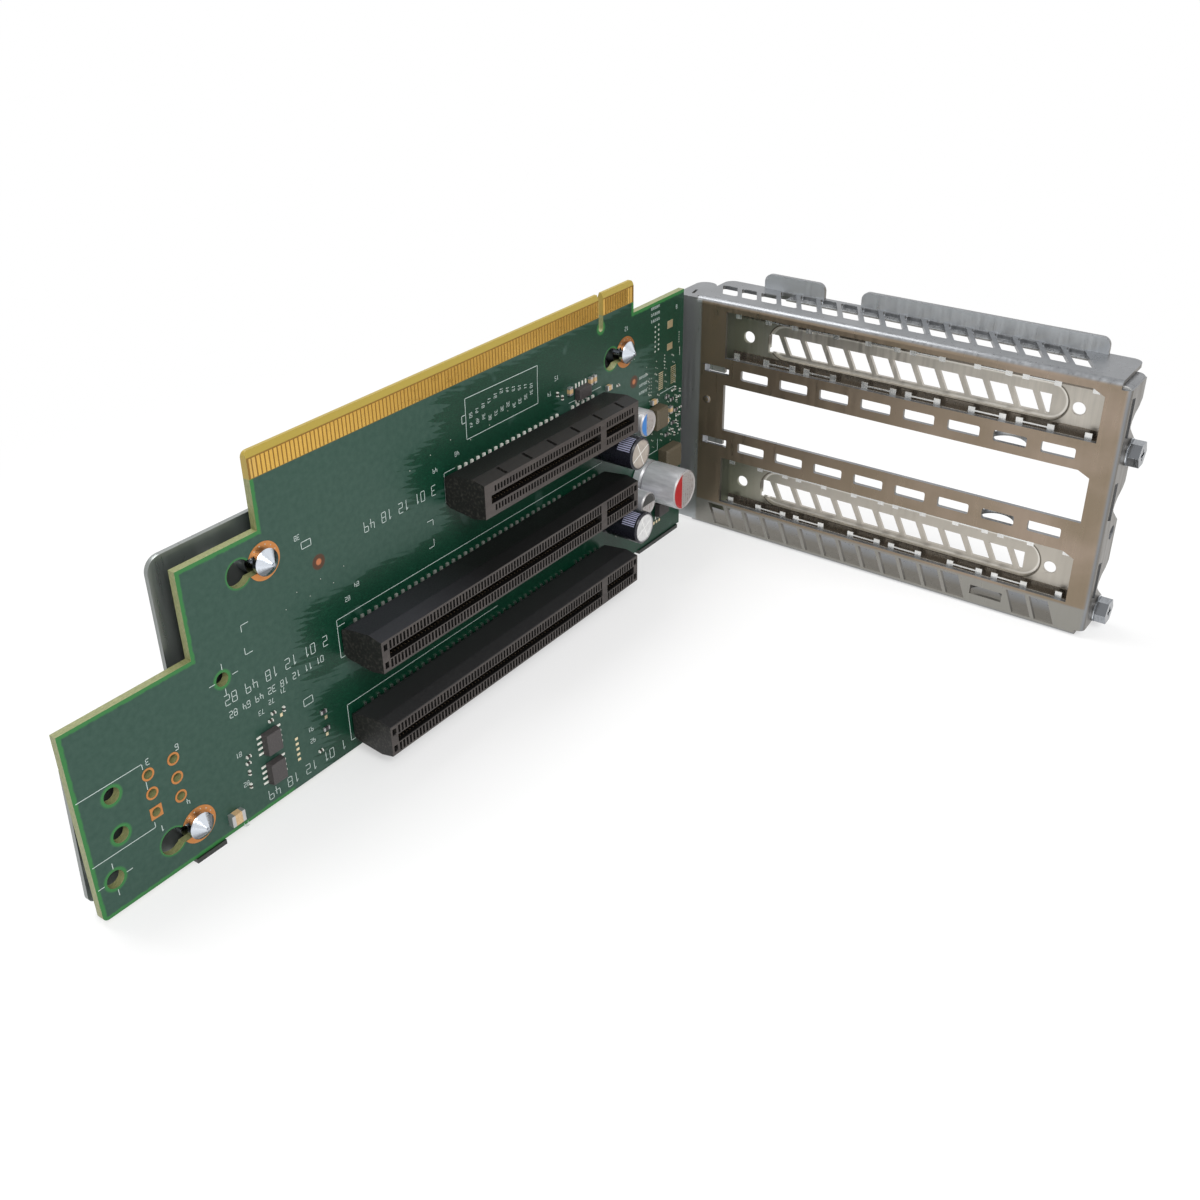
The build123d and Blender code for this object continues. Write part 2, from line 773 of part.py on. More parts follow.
# ceramic chip capacitors and resistors
ceramic_places = [
    (board_left + 30.6, -22.9, 3.2, 2.5, 1.4),
    (-12.0, 28.0, 1.25, 2.0, 0.9),
    (-4.0, 27.9, 1.0, 2.0, 0.9),
    (-2.5, 28.0, 1.0, 2.0, 0.9),
    (3.4, 23.9, 2.0, 1.25, 0.9),
    (23.1, 13.6, 2.4, 1.25, 0.9),
    (30.9, 8.9, 1.25, 2.0, 0.9),
    (29.0, 6.6, 1.25, 2.0, 0.9),
]
for number, (cap_x, cap_z, cap_w, cap_h, cap_d) in enumerate(ceramic_places, 1):
    with BuildPart() as ceramic:
        with BuildSketch(facing(0)):
            with Locations((cap_x, cap_z)):
                Rectangle(cap_w, cap_h)
        extrude(amount=cap_d)
    ceramic.part.label = f"ceramic_capacitor_{number}"
    export_step(ceramic.part, f"parts/ceramic_capacitor_{number}.step")

resistor_places = [
    (-long_connector - 7.2, -12.8),
    (-long_connector - 7.0, -17.0),
    (29.4, 12.9),
    (31.6, 11.5),
    (33.6, 8.0),
    (32.2, 4.8),
    (29.4, 2.4),
]
for number, place in enumerate(resistor_places, 1):
    with BuildPart() as resistor:
        with BuildSketch(facing(0)):
            with Locations(place):
                Rectangle(1.6, 0.8)
        extrude(amount=0.5)
    resistor.part.label = f"chip_resistor_{number}"
    export_step(resistor.part, f"parts/chip_resistor_{number}.step")

# filler panels behind the upper and lower opening
filler_far = side_inner
filler_vents_near = opening_near - 10.8
filler_vents_far = opening_far + 12.4


def filler_outline(name):
    """Filler face in Y and Z: body, tongue towards the board and stem of the screw tab."""
    low = opening_low[name] - 1.3
    high = opening_high[name] + 1.3
    return [
        (filler_far + 1.2, high - 2.0),
        (filler_far + 3.0, high),
        (-8.4, high),
        (-8.4, low + 1.0),
        (-4.2, low - 0.4),
        (-4.2, screw_z[name] - 0.6),
        (-11.0, screw_z[name] - 0.6),
        (-12.6, low),
        (filler_far + 1.2, low),
    ]


def cut_filler_vents(middle):
    """Row of slanted vents, ending square at both ends."""
    low = middle + filler_vent_low
    high = middle + filler_vent_high
    with BuildSketch(across(filler_x - 1)) as vents:
        vent_y = filler_vents_near + filler_vent_slant
        while vent_y > filler_vents_far:
            outline([
                (vent_y, high),
                (vent_y - filler_vent_width, high),
                (vent_y - filler_vent_width - filler_vent_slant, low),
                (vent_y - filler_vent_slant, low),
            ])
            vent_y -= filler_vent_pitch
        for end_y, outside in ((filler_vents_near, 10), (filler_vents_far, -10)):
            outline([
                (end_y, low - 1),
                (end_y, high + 1),
                (end_y + outside, high + 1),
                (end_y + outside, low - 1),
            ], Mode.SUBTRACT)
    extrude(vents.sketch, amount=5, mode=Mode.SUBTRACT)


def build_filler(name):
    """Filler plate, pressed stadium, vents, round holes and the tab under the side flange."""
    middle = (opening_low[name] + opening_high[name]) / 2
    low = opening_low[name] - 1.3
    stadium = opening_high[name] - opening_low[name] - 3.6
    with BuildSketch(across(filler_x)) as face:
        outline(filler_outline(name))
    extrude(face.sketch, amount=filler_thickness)
    with BuildSketch(across(filler_x + filler_thickness)) as pressed:
        with Locations((-58.75, middle)):
            RectangleRounded(77.0, stadium + 1.0, (stadium + 1.0) / 2 - 0.1)
    extrude(pressed.sketch, amount=filler_press)
    with BuildSketch(across(filler_x + filler_press)) as hollowed:
        with Locations((-58.75, middle)):
            RectangleRounded(75.5, stadium, stadium / 2 - 0.1)
    extrude(hollowed.sketch, amount=-2, mode=Mode.SUBTRACT)
    cut_filler_vents(middle)
    with BuildSketch(across(filler_x - 1)) as holes:
        with Locations((opening_near - 5.1, middle - 0.4), (opening_far + 5.9, middle - 0.4)):
            Circle(1.5)
    extrude(holes.sketch, amount=5, mode=Mode.SUBTRACT)
    with BuildSketch(facing(side_inner + filler_thickness)) as tab:
        outline([
            (filler_x, low),
            (filler_x, opening_high[name] - 0.7),
            (waist_x - 0.3, opening_high[name] - 0.7),
            (waist_x - 0.3, screw_z[name] + 4.6),
            (ear_x - 0.3, screw_z[name] + 1.8),
            (ear_x - 0.3, screw_z[name] - 2.9),
            (filler_x + 2.0, screw_z[name] - 2.9),
        ])
        with Locations((screw_x, screw_z[name])):
            Circle(screw_radius + 0.05, mode=Mode.SUBTRACT)
    extrude(tab.sketch, amount=filler_thickness)
    with BuildSketch(across(filler_x)) as stem:
        span(side_inner, side_inner + 2, low, opening_high[name] - 0.7)
    extrude(stem.sketch, amount=filler_thickness)


for name in ("upper", "lower"):
    with BuildPart() as filler:
        build_filler(name)
    filler.part.label = f"{name}_filler"
    export_step(filler.part, f"parts/{name}_filler.step")

# contact springs in the gap between the panel and the fillers: a thin channel along the
# edge of the opening with square clips, some of them joined by rods
spring_near = opening_near - 1.0
spring_far = opening_far + 0.6
clip_steps = (0.0, 3.95, 11.2, 19.7)
clip_places = []
for period in range(-1, 3):
    for step in clip_steps:
        clip_y = opening_near - 18.8 - period * clip_period - step
        if spring_far + clip_width < clip_y < spring_near - clip_width:
            clip_places.append(clip_y)


def build_spring(edge_z, inward):
    """Spring along an opening's edge at edge_z; inward is the sense towards its middle."""
    clip_x = panel_out + 0.1
    base_z = edge_z - 0.1 * inward
    with BuildSketch(across(panel_out)) as base:
        span(spring_near, spring_far, base_z, base_z - inward * spring_thickness)
    extrude(base.sketch, amount=filler_gap)
    with BuildSketch(across(filler_x - spring_thickness)) as back:
        span(spring_near, spring_far, base_z, base_z + inward * clip_height)
    extrude(back.sketch, amount=spring_thickness)
    with BuildSketch(across(clip_x)) as clips:
        for clip_y in clip_places:
            half = clip_width / 2
            span(clip_y - half, clip_y + half, base_z, base_z + inward * clip_height)
        for first, second in zip(clip_places[1::2], clip_places[2::2]):
            span(first, second, edge_z + 0.6 * inward, edge_z + 0.9 * inward)
    extrude(clips.sketch, amount=spring_thickness)


for name in ("upper", "lower"):
    for edge, edge_z, inward in (("top", opening_high[name], -1), ("bottom", opening_low[name], 1)):
        with BuildPart() as spring:
            build_spring(edge_z, inward)
        spring.part.label = f"{name}_filler_{edge}_spring"
        export_step(spring.part, f"parts/{name}_filler_{edge}_spring.step")

# hex-head screws
screw_section = [
    (0, side_outer + 7.0),
    (screw_radius - 0.4, side_outer + 7.0),
    (screw_radius, side_outer + 6.6),
    (screw_radius, side_outer),
    (screw_head_radius, side_outer),
    (screw_head_radius, side_outer - 0.5),
    (0, side_outer - 0.5),
]


def build_screw(centre_z):
    """Turned shank and flange, hexagon head and cross recess."""
    with BuildSketch(turning(screw_x, centre_z)) as shank:
        outline(screw_section)
    revolve(shank.sketch, axis=turn_axis(screw_x, centre_z))
    with BuildSketch(facing(side_outer - 0.5)) as head:
        with Locations((screw_x, centre_z)):
            RegularPolygon(screw_head_radius - 0.1, 6)
    extrude(head.sketch, amount=screw_head_height - 0.5)
    with BuildSketch(facing(side_outer - screw_head_height + 1.2)) as cross:
        with Locations((screw_x, centre_z)):
            Rectangle(2.8, 0.7)
            Rectangle(0.7, 2.8)
    extrude(cross.sketch, amount=2, mode=Mode.SUBTRACT)


for name in ("upper", "lower"):
    with BuildPart() as screw:
        build_screw(screw_z[name])
    screw.part.label = f"{name}_screw"
    export_step(screw.part, f"parts/{name}_screw.step")
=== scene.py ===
"""Looks of the riser cage: a finish for every part, and the board's print and small parts.

Places are written in millimetres from a datum, the panel end of the middle connector on the
board's front face: X towards the rear panel, -Y out of the board, Z up. Blender's own units are
metres.
"""

import math

import bmesh
import bpy
from mathutils import Matrix, Vector


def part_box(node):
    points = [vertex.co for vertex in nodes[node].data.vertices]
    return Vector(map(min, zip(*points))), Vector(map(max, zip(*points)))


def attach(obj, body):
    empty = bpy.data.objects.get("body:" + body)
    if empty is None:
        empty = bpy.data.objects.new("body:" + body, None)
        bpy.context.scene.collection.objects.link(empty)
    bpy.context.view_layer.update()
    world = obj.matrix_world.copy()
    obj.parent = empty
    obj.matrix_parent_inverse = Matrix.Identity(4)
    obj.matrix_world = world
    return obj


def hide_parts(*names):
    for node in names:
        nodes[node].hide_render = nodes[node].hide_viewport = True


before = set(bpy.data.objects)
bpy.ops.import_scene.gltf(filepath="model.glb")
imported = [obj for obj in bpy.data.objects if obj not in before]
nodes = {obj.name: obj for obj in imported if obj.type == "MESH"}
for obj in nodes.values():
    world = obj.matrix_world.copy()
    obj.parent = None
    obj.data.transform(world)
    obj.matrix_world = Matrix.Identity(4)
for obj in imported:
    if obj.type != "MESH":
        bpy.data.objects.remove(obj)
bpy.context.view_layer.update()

mm = 0.001
weld_distance = 0.001 * mm
middle_low, middle_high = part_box("middle_connector")
board_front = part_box("riser_board")[0].y
datum = Vector((middle_high.x, board_front, (middle_low.z + middle_high.z) / 2))


def at(x, y, z):
    """Point in metres from a place in datum millimetres."""
    return datum + Vector((x, y, z)) * mm


def extent(node):
    """Lowest and highest corner of a CAD node in datum millimetres."""
    low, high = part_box(node)
    return (low - datum) / mm, (high - datum) / mm


def middle(node):
    """Centre of a CAD node in datum millimetres."""
    low, high = extent(node)
    return (low + high) / 2


def srgb(red, green, blue):
    """Linear colour from 0-255 display values."""
    def linear(value):
        value /= 255
        return value / 12.92 if value <= 0.04045 else ((value + 0.055) / 1.055) ** 2.4
    return linear(red), linear(green), linear(blue), 1.0


def toned(color, factor):
    """Colour made darker or lighter by a factor."""
    return tuple(min(1.0, factor * value) for value in color[:3]) + (1.0,)


class Paint:
    """One procedural material, worked out from object coordinates in datum millimetres."""

    def __init__(self, name, color, metallic=0.0, roughness=0.5, specular=0.5):
        self.material = bpy.data.materials.new(name)
        self.material.use_nodes = True
        self.tree = self.material.node_tree
        self.shader = self.tree.nodes["Principled BSDF"]
        self.shader.inputs["Base Color"].default_value = color
        self.shader.inputs["Metallic"].default_value = metallic
        self.shader.inputs["Roughness"].default_value = roughness
        self.shader.inputs["Specular IOR Level"].default_value = specular
        coordinates = self.node("ShaderNodeTexCoord")
        shifted = self.node("ShaderNodeVectorMath", operation="SUBTRACT")
        self.put(shifted.inputs[0], coordinates.outputs["Object"])
        shifted.inputs[1].default_value = datum
        scaled = self.node("ShaderNodeVectorMath", operation="SCALE")
        self.put(scaled.inputs[0], shifted.outputs["Vector"])
        scaled.inputs["Scale"].default_value = 1 / mm
        self.place = scaled.outputs["Vector"]
        split = self.node("ShaderNodeSeparateXYZ")
        self.put(split.inputs[0], self.place)
        self.x, self.y, self.z = split.outputs

    def node(self, kind, **settings):
        made = self.tree.nodes.new(kind)
        for key, value in settings.items():
            setattr(made, key, value)
        return made

    def put(self, socket, value):
        """Feed a socket from another socket or from a plain value."""
        if isinstance(value, bpy.types.NodeSocket):
            self.tree.links.new(value, socket)
        else:
            socket.default_value = value

    def math(self, operation, a, b=0.0):
        made = self.node("ShaderNodeMath", operation=operation)
        self.put(made.inputs[0], a)
        self.put(made.inputs[1], b)
        return made.outputs[0]

    def plus(self, a, b):
        return self.math("ADD", a, b)

    def minus(self, a, b):
        return self.math("SUBTRACT", a, b)

    def times(self, first, *others):
        """Product of several masks or numbers."""
        joined = first
        for other in others:
            joined = self.math("MULTIPLY", joined, other)
        return joined

    def length(self, a, b):
        """Root of the sum of two squares."""
        return self.math("SQRT", self.plus(self.times(a, a), self.times(b, b)))

    def ramp(self, value, low, high, start=0.0, end=1.0):
        """Value mapped from low..high to start..end and clamped."""
        made = self.node("ShaderNodeMapRange")
        for socket, number in zip(made.inputs, (value, low, high, start, end)):
            self.put(socket, number)
        return made.outputs[0]

    def falling(self, value, low, high):
        """1 below low and 0 above high."""
        return self.ramp(value, low, high, 1.0, 0.0)

    def mix(self, factor, a, b):
        made = self.node("ShaderNodeMix", data_type="RGBA")
        self.put(made.inputs["Factor"], factor)
        self.put(made.inputs[6], a)
        self.put(made.inputs[7], b)
        return made.outputs[2]

    def mottled(self, pattern, low, high, a, b):
        """Colour a where a pattern is below low, going over to b where it is above high."""
        return self.mix(self.ramp(pattern, low, high), a, b)

    def layers(self, color, *laid):
        """Tones laid over a colour in turn, each through its mask."""
        for mask, tone in laid:
            color = self.mix(mask, color, tone)
        return color

    def noise(self, scale, detail=3.0, stretch=(1, 1, 1)):
        """Noise from 0 to 1; scale is in features per millimetre."""
        mapping = self.node("ShaderNodeMapping")
        self.put(mapping.inputs["Vector"], self.place)
        mapping.inputs["Scale"].default_value = stretch
        made = self.node("ShaderNodeTexNoise")
        self.put(made.inputs["Vector"], mapping.outputs[0])
        made.inputs["Scale"].default_value = scale
        made.inputs["Detail"].default_value = detail
        return made.outputs["Fac"]

    def between(self, value, low, high, soft=0.05):
        """1 where value lies between low and high, with a soft edge."""
        rising = self.ramp(value, low - soft, low + soft)
        return self.times(rising, self.falling(value, high - soft, high + soft))

    def inside(self, x0, x1, z0, z1, soft=0.05, x=None, z=None):
        """1 inside a rectangle on the board's face."""
        across = self.between(x or self.x, x0, x1, soft)
        along = self.between(z or self.z, z0, z1, soft)
        return self.times(across, along)

    def disc(self, x, z, radius, soft=0.05):
        """1 inside a circle on the board's face."""
        distance = self.length(self.minus(self.x, x), self.minus(self.z, z))
        return self.falling(distance, radius - soft, radius + soft)

    def either(self, masks):
        """The largest of several masks."""
        joined = masks[0]
        for mask in masks[1:]:
            joined = self.math("MAXIMUM", joined, mask)
        return joined

    def facing(self, axis):
        """How far the surface faces along an axis: the normal's X, Y or Z."""
        geometry = self.node("ShaderNodeNewGeometry")
        split = self.node("ShaderNodeSeparateXYZ")
        self.put(split.inputs[0], geometry.outputs["True Normal"])
        return split.outputs[axis]

    def bump(self, height, strength, distance):
        made = self.node("ShaderNodeBump")
        made.inputs["Strength"].default_value = strength
        made.inputs["Distance"].default_value = distance * mm
        self.put(made.inputs["Height"], height)
        self.put(self.shader.inputs["Normal"], made.outputs[0])

    def set(self, **sockets):
        for name, value in sockets.items():
            self.put(self.shader.inputs[name.replace("_", " ")], value)


def plated_sheet(name, grey, roughness):
    """Zinc plated sheet: the paint, and its grey with rolling streaks and blotches."""
    paint = Paint(name, grey, metallic=0.8, roughness=roughness)
    streaks = paint.noise(1.1, 4.0, (1, 1, 0.06))
    blotches = paint.noise(0.09, 3.0)
    paint.set(Roughness=paint.ramp(streaks, 0.3, 0.7, roughness - 0.08, roughness + 0.1))
    paint.bump(streaks, 0.1, 0.04)
    return paint, paint.mottled(paint.times(streaks, blotches), 0.12, 0.42, toned(grey, 0.72), grey)


def bracket_metal():
    """Bracket sheet: grey flanges, with painted light and shade: a brown painted reflection on the
    inner face, a grey painted reflection on the bottom bar, painted light on the blue-grey fold,
    the set-back faces and the faces above the top fold, and painted shade on outward faces, the low
    flange, the ledge and the darker plate.
    """
    paint, color = plated_sheet("bracket_steel", srgb(140, 142, 145), 0.34)
    stains = paint.noise(0.05, 4.0, (1, 1, 1.6))
    outer_share = paint.ramp(paint.y, -4.0, -100.0)
    # Painted reflection: a brown tone for the inner face, lighter further out along -Y, with real
    # stains mottled over it.
    brown = paint.mix(outer_share, srgb(130, 117, 100), srgb(154, 138, 123))
    brown = paint.mottled(stains, 0.35, 0.65, brown, srgb(134, 120, 102))
    towards_cards = paint.falling(paint.facing(0), -0.95, -0.75)
    # Painted shade: faces turned out along -Y are drawn darker.
    outward_shade = paint.falling(paint.facing(1), -0.95, -0.75)
    upwards = paint.ramp(paint.facing(2), 0.8, 0.95)
    before_panel = paint.falling(paint.x, 36.0, 39.0)
    face_height = paint.between(paint.z, -19.8, 35.6, 0.3)
    # Inner face that turns to the cards and carries the painted brown reflection.
    face = paint.times(towards_cards, face_height, paint.falling(paint.x, 41.6, 41.9))
    # Painted reflection: the bottom bar below the openings is grey, not the brown of the face
    # above.
    bar = paint.times(towards_cards, paint.falling(paint.z, -20.1, -19.5))
    # Painted light: faces above the top fold that turn to the cards are drawn light.
    light_above_fold = paint.times(towards_cards, paint.ramp(paint.z, 36.2, 36.6))
    # Painted shade: the upper side of the bottom flange, inside the cage, is drawn darker.
    low_flange_shade = paint.times(upwards, paint.falling(paint.z, -20.0, -19.0))
    low_flange_shade = paint.times(low_flange_shade, paint.falling(paint.x, 47.0, 51.0))
    # Painted light: the fold strip at the board's end is drawn a lighter blue-grey than the face.
    fold = paint.times(towards_cards, paint.ramp(paint.y, -3.0, -2.4))
    # Painted highlight: faces set back behind the panel's inner face are drawn bright.
    set_back_highlight = paint.times(towards_cards, paint.between(paint.x, 41.75, 45.0))
    # Painted shade: the ledge below the board's lower edge is drawn dark.
    ledge = paint.times(paint.falling(paint.z, -26.3, -26.0), before_panel)
    # Painted shade: the plate behind the board is drawn a little darker.
    plate = paint.times(paint.ramp(paint.y, 3.9, 4.1), before_panel)
    paint.set(Base_Color=paint.layers(
        color,
        (outward_shade, srgb(112, 108, 102)),
        (face, brown),
        (bar, srgb(142, 140, 134)),
        (light_above_fold, srgb(204, 208, 212)),
        (low_flange_shade, srgb(112, 108, 100)),
        (fold, srgb(172, 176, 178)),
        (set_back_highlight, srgb(206, 206, 204)),
        (ledge, srgb(66, 68, 66)),
        (plate, srgb(134, 138, 136)),
    ))
    return paint.material


def filler_metal():
    """Filler sheet: warm light grey, darker and greener near the board as a painted reflection of
    it, with a pressed stadium edged by a painted shade line and a painted highlight line.
    """
    paint, color = plated_sheet("filler_steel", srgb(200, 194, 184), 0.36)
    lower_filler = paint.falling(paint.z, 2.0, 6.0)
    # Painted reflection: the board's green shows as a darker, greener tone near it.
    board_reflection = paint.ramp(paint.y, -30.0, -11.0)
    color = paint.layers(
        color, (lower_filler, srgb(182, 176, 166)), (board_reflection, srgb(124, 126, 108)))
    middle_y, half_length = -58.75, 37.75
    for middle_z, end_radius in ((27.67, 4.35), (-12.57, 4.65)):
        along = paint.math("ABSOLUTE", paint.minus(paint.y, middle_y))
        past = paint.math("MAXIMUM", paint.minus(along, half_length - end_radius), 0.0)
        edge = paint.minus(paint.length(past, paint.minus(paint.z, middle_z)), end_radius)
        # Painted shade just outside the stadium's edge and a painted highlight just inside it.
        edge_shade = paint.between(edge, 0.05, 0.4, 0.12)
        edge_highlight = paint.between(edge, -0.6, -0.15, 0.15)
        color = paint.layers(color, (edge_shade, srgb(92, 86, 76)), (edge_highlight, srgb(226, 222, 214)))
    paint.set(Base_Color=color)
    return paint.material


def spring_metal():
    """Contact springs: near-white clips as painted light, on a channel darkened as painted shade.
    """
    # Painted light: the clips' near-white stands in for light showing through the notches past
    # them.
    paint, color = plated_sheet("spring_steel", srgb(236, 236, 234), 0.24)
    # Painted shade: the recessed channel behind the clips is drawn darker.
    channel_shade = paint.ramp(paint.x, 42.7, 43.0)
    paint.set(Base_Color=paint.mix(channel_shade, color, srgb(116, 108, 98)))
    return paint.material


def strip_metal():
    """Shielding strip under the top flange."""
    paint, color = plated_sheet("strip_steel", srgb(206, 208, 210), 0.3)
    paint.set(Base_Color=color)
    return paint.material


def bright_metal(name, color, roughness, contrast=0.0):
    """Plated metal with fine tool marks; contrast darkens it in bands that follow its slope, a
    painted reflection.
    """
    paint = Paint(name, color, metallic=1.0, roughness=roughness)
    marks = paint.noise(2.6, 3.0, (0.3, 3.0, 0.3))
    # Painted reflection: light and dark stripes from how far the surface tilts up or towards the
    # cards.
    tilt = paint.plus(paint.times(paint.facing(2), 1.2), paint.times(paint.facing(0), -0.9))
    bands = paint.math("PINGPONG", paint.plus(tilt, paint.times(marks, 0.25)), 0.8)
    paint.set(Base_Color=paint.mottled(bands, 0.2, 0.65, toned(color, 1 - contrast), color))
    paint.set(Roughness=paint.ramp(marks, 0.3, 0.7, roughness - 0.06, roughness + 0.1))
    paint.bump(marks, 0.1, 0.04)
    return paint.material


def moulding(name, color, light, roughness, grain=3.0):
    """Body with a grain between two colours; grain is in features per millimetre."""
    paint = Paint(name, color, roughness=roughness)
    specks = paint.noise(grain, 4.0)
    paint.set(Base_Color=paint.mottled(specks, 0.45, 0.8, color, light))
    paint.set(Roughness=paint.ramp(specks, 0.3, 0.7, roughness - 0.08, roughness + 0.1))
    paint.bump(specks, 0.15, 0.05)
    return paint.material


tab_left, tab_right = -105.3, 14.4


def copper_cover(paint, low, high):
    """1 where copper lies under the solder mask: inside the board's margin and off the rims."""
    margin = 0.8
    tail_top = 14.0
    step_left, step_top = -123.9, 31.9
    shoulder_top = 39.2
    under_connectors = -106.0
    past_right = high.x + 2 * margin
    wavy = paint.ramp(paint.noise(0.8, 2.0), 0.3, 0.7, -0.12, 0.12)
    wavy_x = paint.plus(paint.x, wavy)
    wavy_z = paint.plus(paint.z, wavy)
    areas = [
        paint.inside(x0 + margin, x1 - margin, low.z + margin, z1 - margin, 0.15, wavy_x, wavy_z)
        for x0, x1, z1 in (
            (low.x, past_right, tail_top),
            (step_left, past_right, step_top),
            (tab_left, past_right, shoulder_top),
            (tab_left, tab_right, high.z + 2 * margin),
        )
    ]
    areas.append(paint.inside(
        under_connectors, past_right, low.z - margin, low.z + 2 * margin, 0.6))
    rims = paint.either([paint.disc(x, z, radius, 0.2) for x, z, radius in (
        (-118.2, 7.0, 2.0), (-147.5, -19.2, 2.4), (-144.5, -2.5, 2.2), (-144.5, -11.1, 2.2),
        (5.1, 30.4, 3.05), (-110.8, 25.6, 3.05), (-134.8, -19.4, 3.05), (1.0, 39.2, 1.6),
    )])
    return paint.times(paint.either(areas), paint.minus(1.0, rims))


def routed_area(paint):
    """1 where the traces run darker: round the connectors, with a ragged left edge."""
    ragged = paint.noise(0.3, 4.0, (0.3, 1, 1.6))
    slope = paint.plus(paint.times(paint.z, 0.8), paint.times(paint.x, 0.22))
    comb = paint.math("PINGPONG", slope, 0.5)
    fringe = paint.plus(
        paint.ramp(ragged, 0.3, 0.7, -4.0, 4.0), paint.ramp(comb, 0.0, 0.5, -2.2, 2.2))
    ragged_x = paint.plus(paint.x, fringe)
    ragged_z = paint.plus(paint.z, paint.times(fringe, 0.25))
    past_right = 60.0
    routed = paint.either([
        paint.inside(x0, past_right, z0, z1, 0.3, ragged_x, ragged_z)
        for x0, z0, z1 in (
            (-65.5, 20.5, 32.0), (-56.0, 9.0, 41.0), (-98.0, -5.5, 11.4), (-97.0, -40.0, -8.5),
        )
    ])
    pour = paint.ramp(paint.noise(0.11, 2.0), 0.66, 0.7)
    light_corner = paint.inside(-16, 21, 14, 29, 0.8, ragged_x, ragged_z)
    return paint.times(routed, paint.minus(1.0, paint.either([light_corner, pour])))


def circuit_board():
    """Solder mask over copper, a bare green margin, a beige core, and the gold on the edge tab."""
    paint = Paint("solder_mask", srgb(64, 87, 80), roughness=0.36, specular=0.3)
    low, high = extent("riser_board")
    plane = paint.mottled(paint.noise(0.8, 2.0), 0.3, 0.7, srgb(36, 66, 55), srgb(46, 74, 63))
    traces = paint.noise(1.3, 2.0, (0.14, 1, 2.4))
    lines = paint.math("PINGPONG", paint.times(traces, 14.0), 0.5)
    routed_green = paint.mottled(lines, 0.3, 0.42, srgb(6, 44, 30), srgb(20, 68, 48))
    mask = paint.mix(routed_area(paint), plane, routed_green)
    mask = paint.mix(copper_cover(paint, low, high), srgb(44, 108, 54), mask)
    for x, z in ((-92.1, 19.6), (14.7, 21.6)):
        rim, dot_face = paint.disc(x, z, 1.6, 0.15), paint.disc(x, z, 0.65, 0.15)
        mask = paint.layers(mask, (rim, srgb(70, 45, 28)), (dot_face, srgb(168, 102, 64)))
    fibres = paint.noise(1.6, 3.0, (1, 6, 1))
    core = paint.mottled(fibres, 0.35, 0.7, srgb(112, 118, 76), srgb(148, 148, 106))
    on_face = paint.ramp(paint.math("ABSOLUTE", paint.facing(1)), 0.6, 0.8)

    tab_height = 5.3
    tab = paint.inside(tab_left - 0.5, tab_right + 0.5, high.z - tab_height, high.z + 1)
    contacts_low, contacts_high = extent("edge_contacts")
    contact_half = 0.35
    first_contact = contacts_low.x + contact_half
    off_contact = paint.math("PINGPONG", paint.minus(paint.x, first_contact), 0.5)
    stripes = paint.times(
        paint.falling(off_contact, contact_half - 0.03, contact_half + 0.03),
        paint.between(paint.z, contacts_low.z, contacts_high.z),
        paint.inside(tab_left + 0.5, tab_right - 0.5, high.z - tab_height, high.z),
    )
    bevel = paint.times(tab, paint.ramp(paint.z, high.z - 1.3, high.z - 1.15))
    paint.set(Base_Color=paint.layers(
        paint.mix(on_face, core, mask),
        (tab, srgb(160, 138, 66)),
        (paint.times(tab, on_face), srgb(122, 90, 30)),
        (paint.times(stripes, on_face), srgb(190, 152, 74)),
        (bevel, srgb(158, 138, 60)),
    ))
    paint.bump(lines, 0.04, 0.02)
    return paint.material


def can_end(name, ink, cx, cz, radius, end_y, cut):
    """Drawn aluminium can; cut says which part of its end is inked: a side 'x' or an upper 'z'."""
    bare_metallic = 0.55
    paint = Paint(name, srgb(205, 205, 208), metallic=bare_metallic, roughness=0.4)
    facing = paint.facing(1)
    on_end = paint.times(
        paint.falling(facing, -0.85, -0.6), paint.falling(paint.y, end_y + 0.8, end_y + 1.2))
    if cut == "x":
        uneven_x = paint.plus(paint.x, paint.times(paint.noise(2.0, 2.0), 0.2))
        ink_edge = cx - 0.22 * radius
        segment = paint.falling(uneven_x, ink_edge - 0.05, ink_edge + 0.05)
    else:
        segment = paint.ramp(paint.z, cz - 0.05, cz + 0.05)
    printed = paint.times(segment, paint.disc(cx, cz, radius - 0.3), on_end)
    rows = paint.math("PINGPONG", paint.minus(paint.x, cx), 0.5)
    dashes = paint.times(
        paint.ramp(rows, 0.3, 0.36), paint.ramp(paint.noise(2.4, 1.0), 0.5, 0.56),
        paint.disc(cx, cz, radius - 1.0), on_end, 0.6,
    )
    drawn = paint.noise(1.5, 3.0, (1, 0.2, 1))
    silver = paint.mottled(drawn, 0.3, 0.7, srgb(214, 214, 218), srgb(230, 230, 234))
    # Painted shade: the rounded rim between the can's side and its end is drawn darker.
    rim_shade = paint.between(facing, -0.95, -0.15, 0.05)
    end_color = paint.mix(dashes, srgb(178, 174, 172), srgb(120, 70, 70))
    paint.set(Base_Color=paint.layers(
        silver, (rim_shade, srgb(150, 150, 152)), (on_end, end_color), (printed, ink)))
    paint.set(Metallic=paint.ramp(printed, 0.0, 1.0, bare_metallic, 0.0))
    paint.set(Roughness=paint.ramp(drawn, 0.3, 0.7, 0.3, 0.44))
    return paint.material


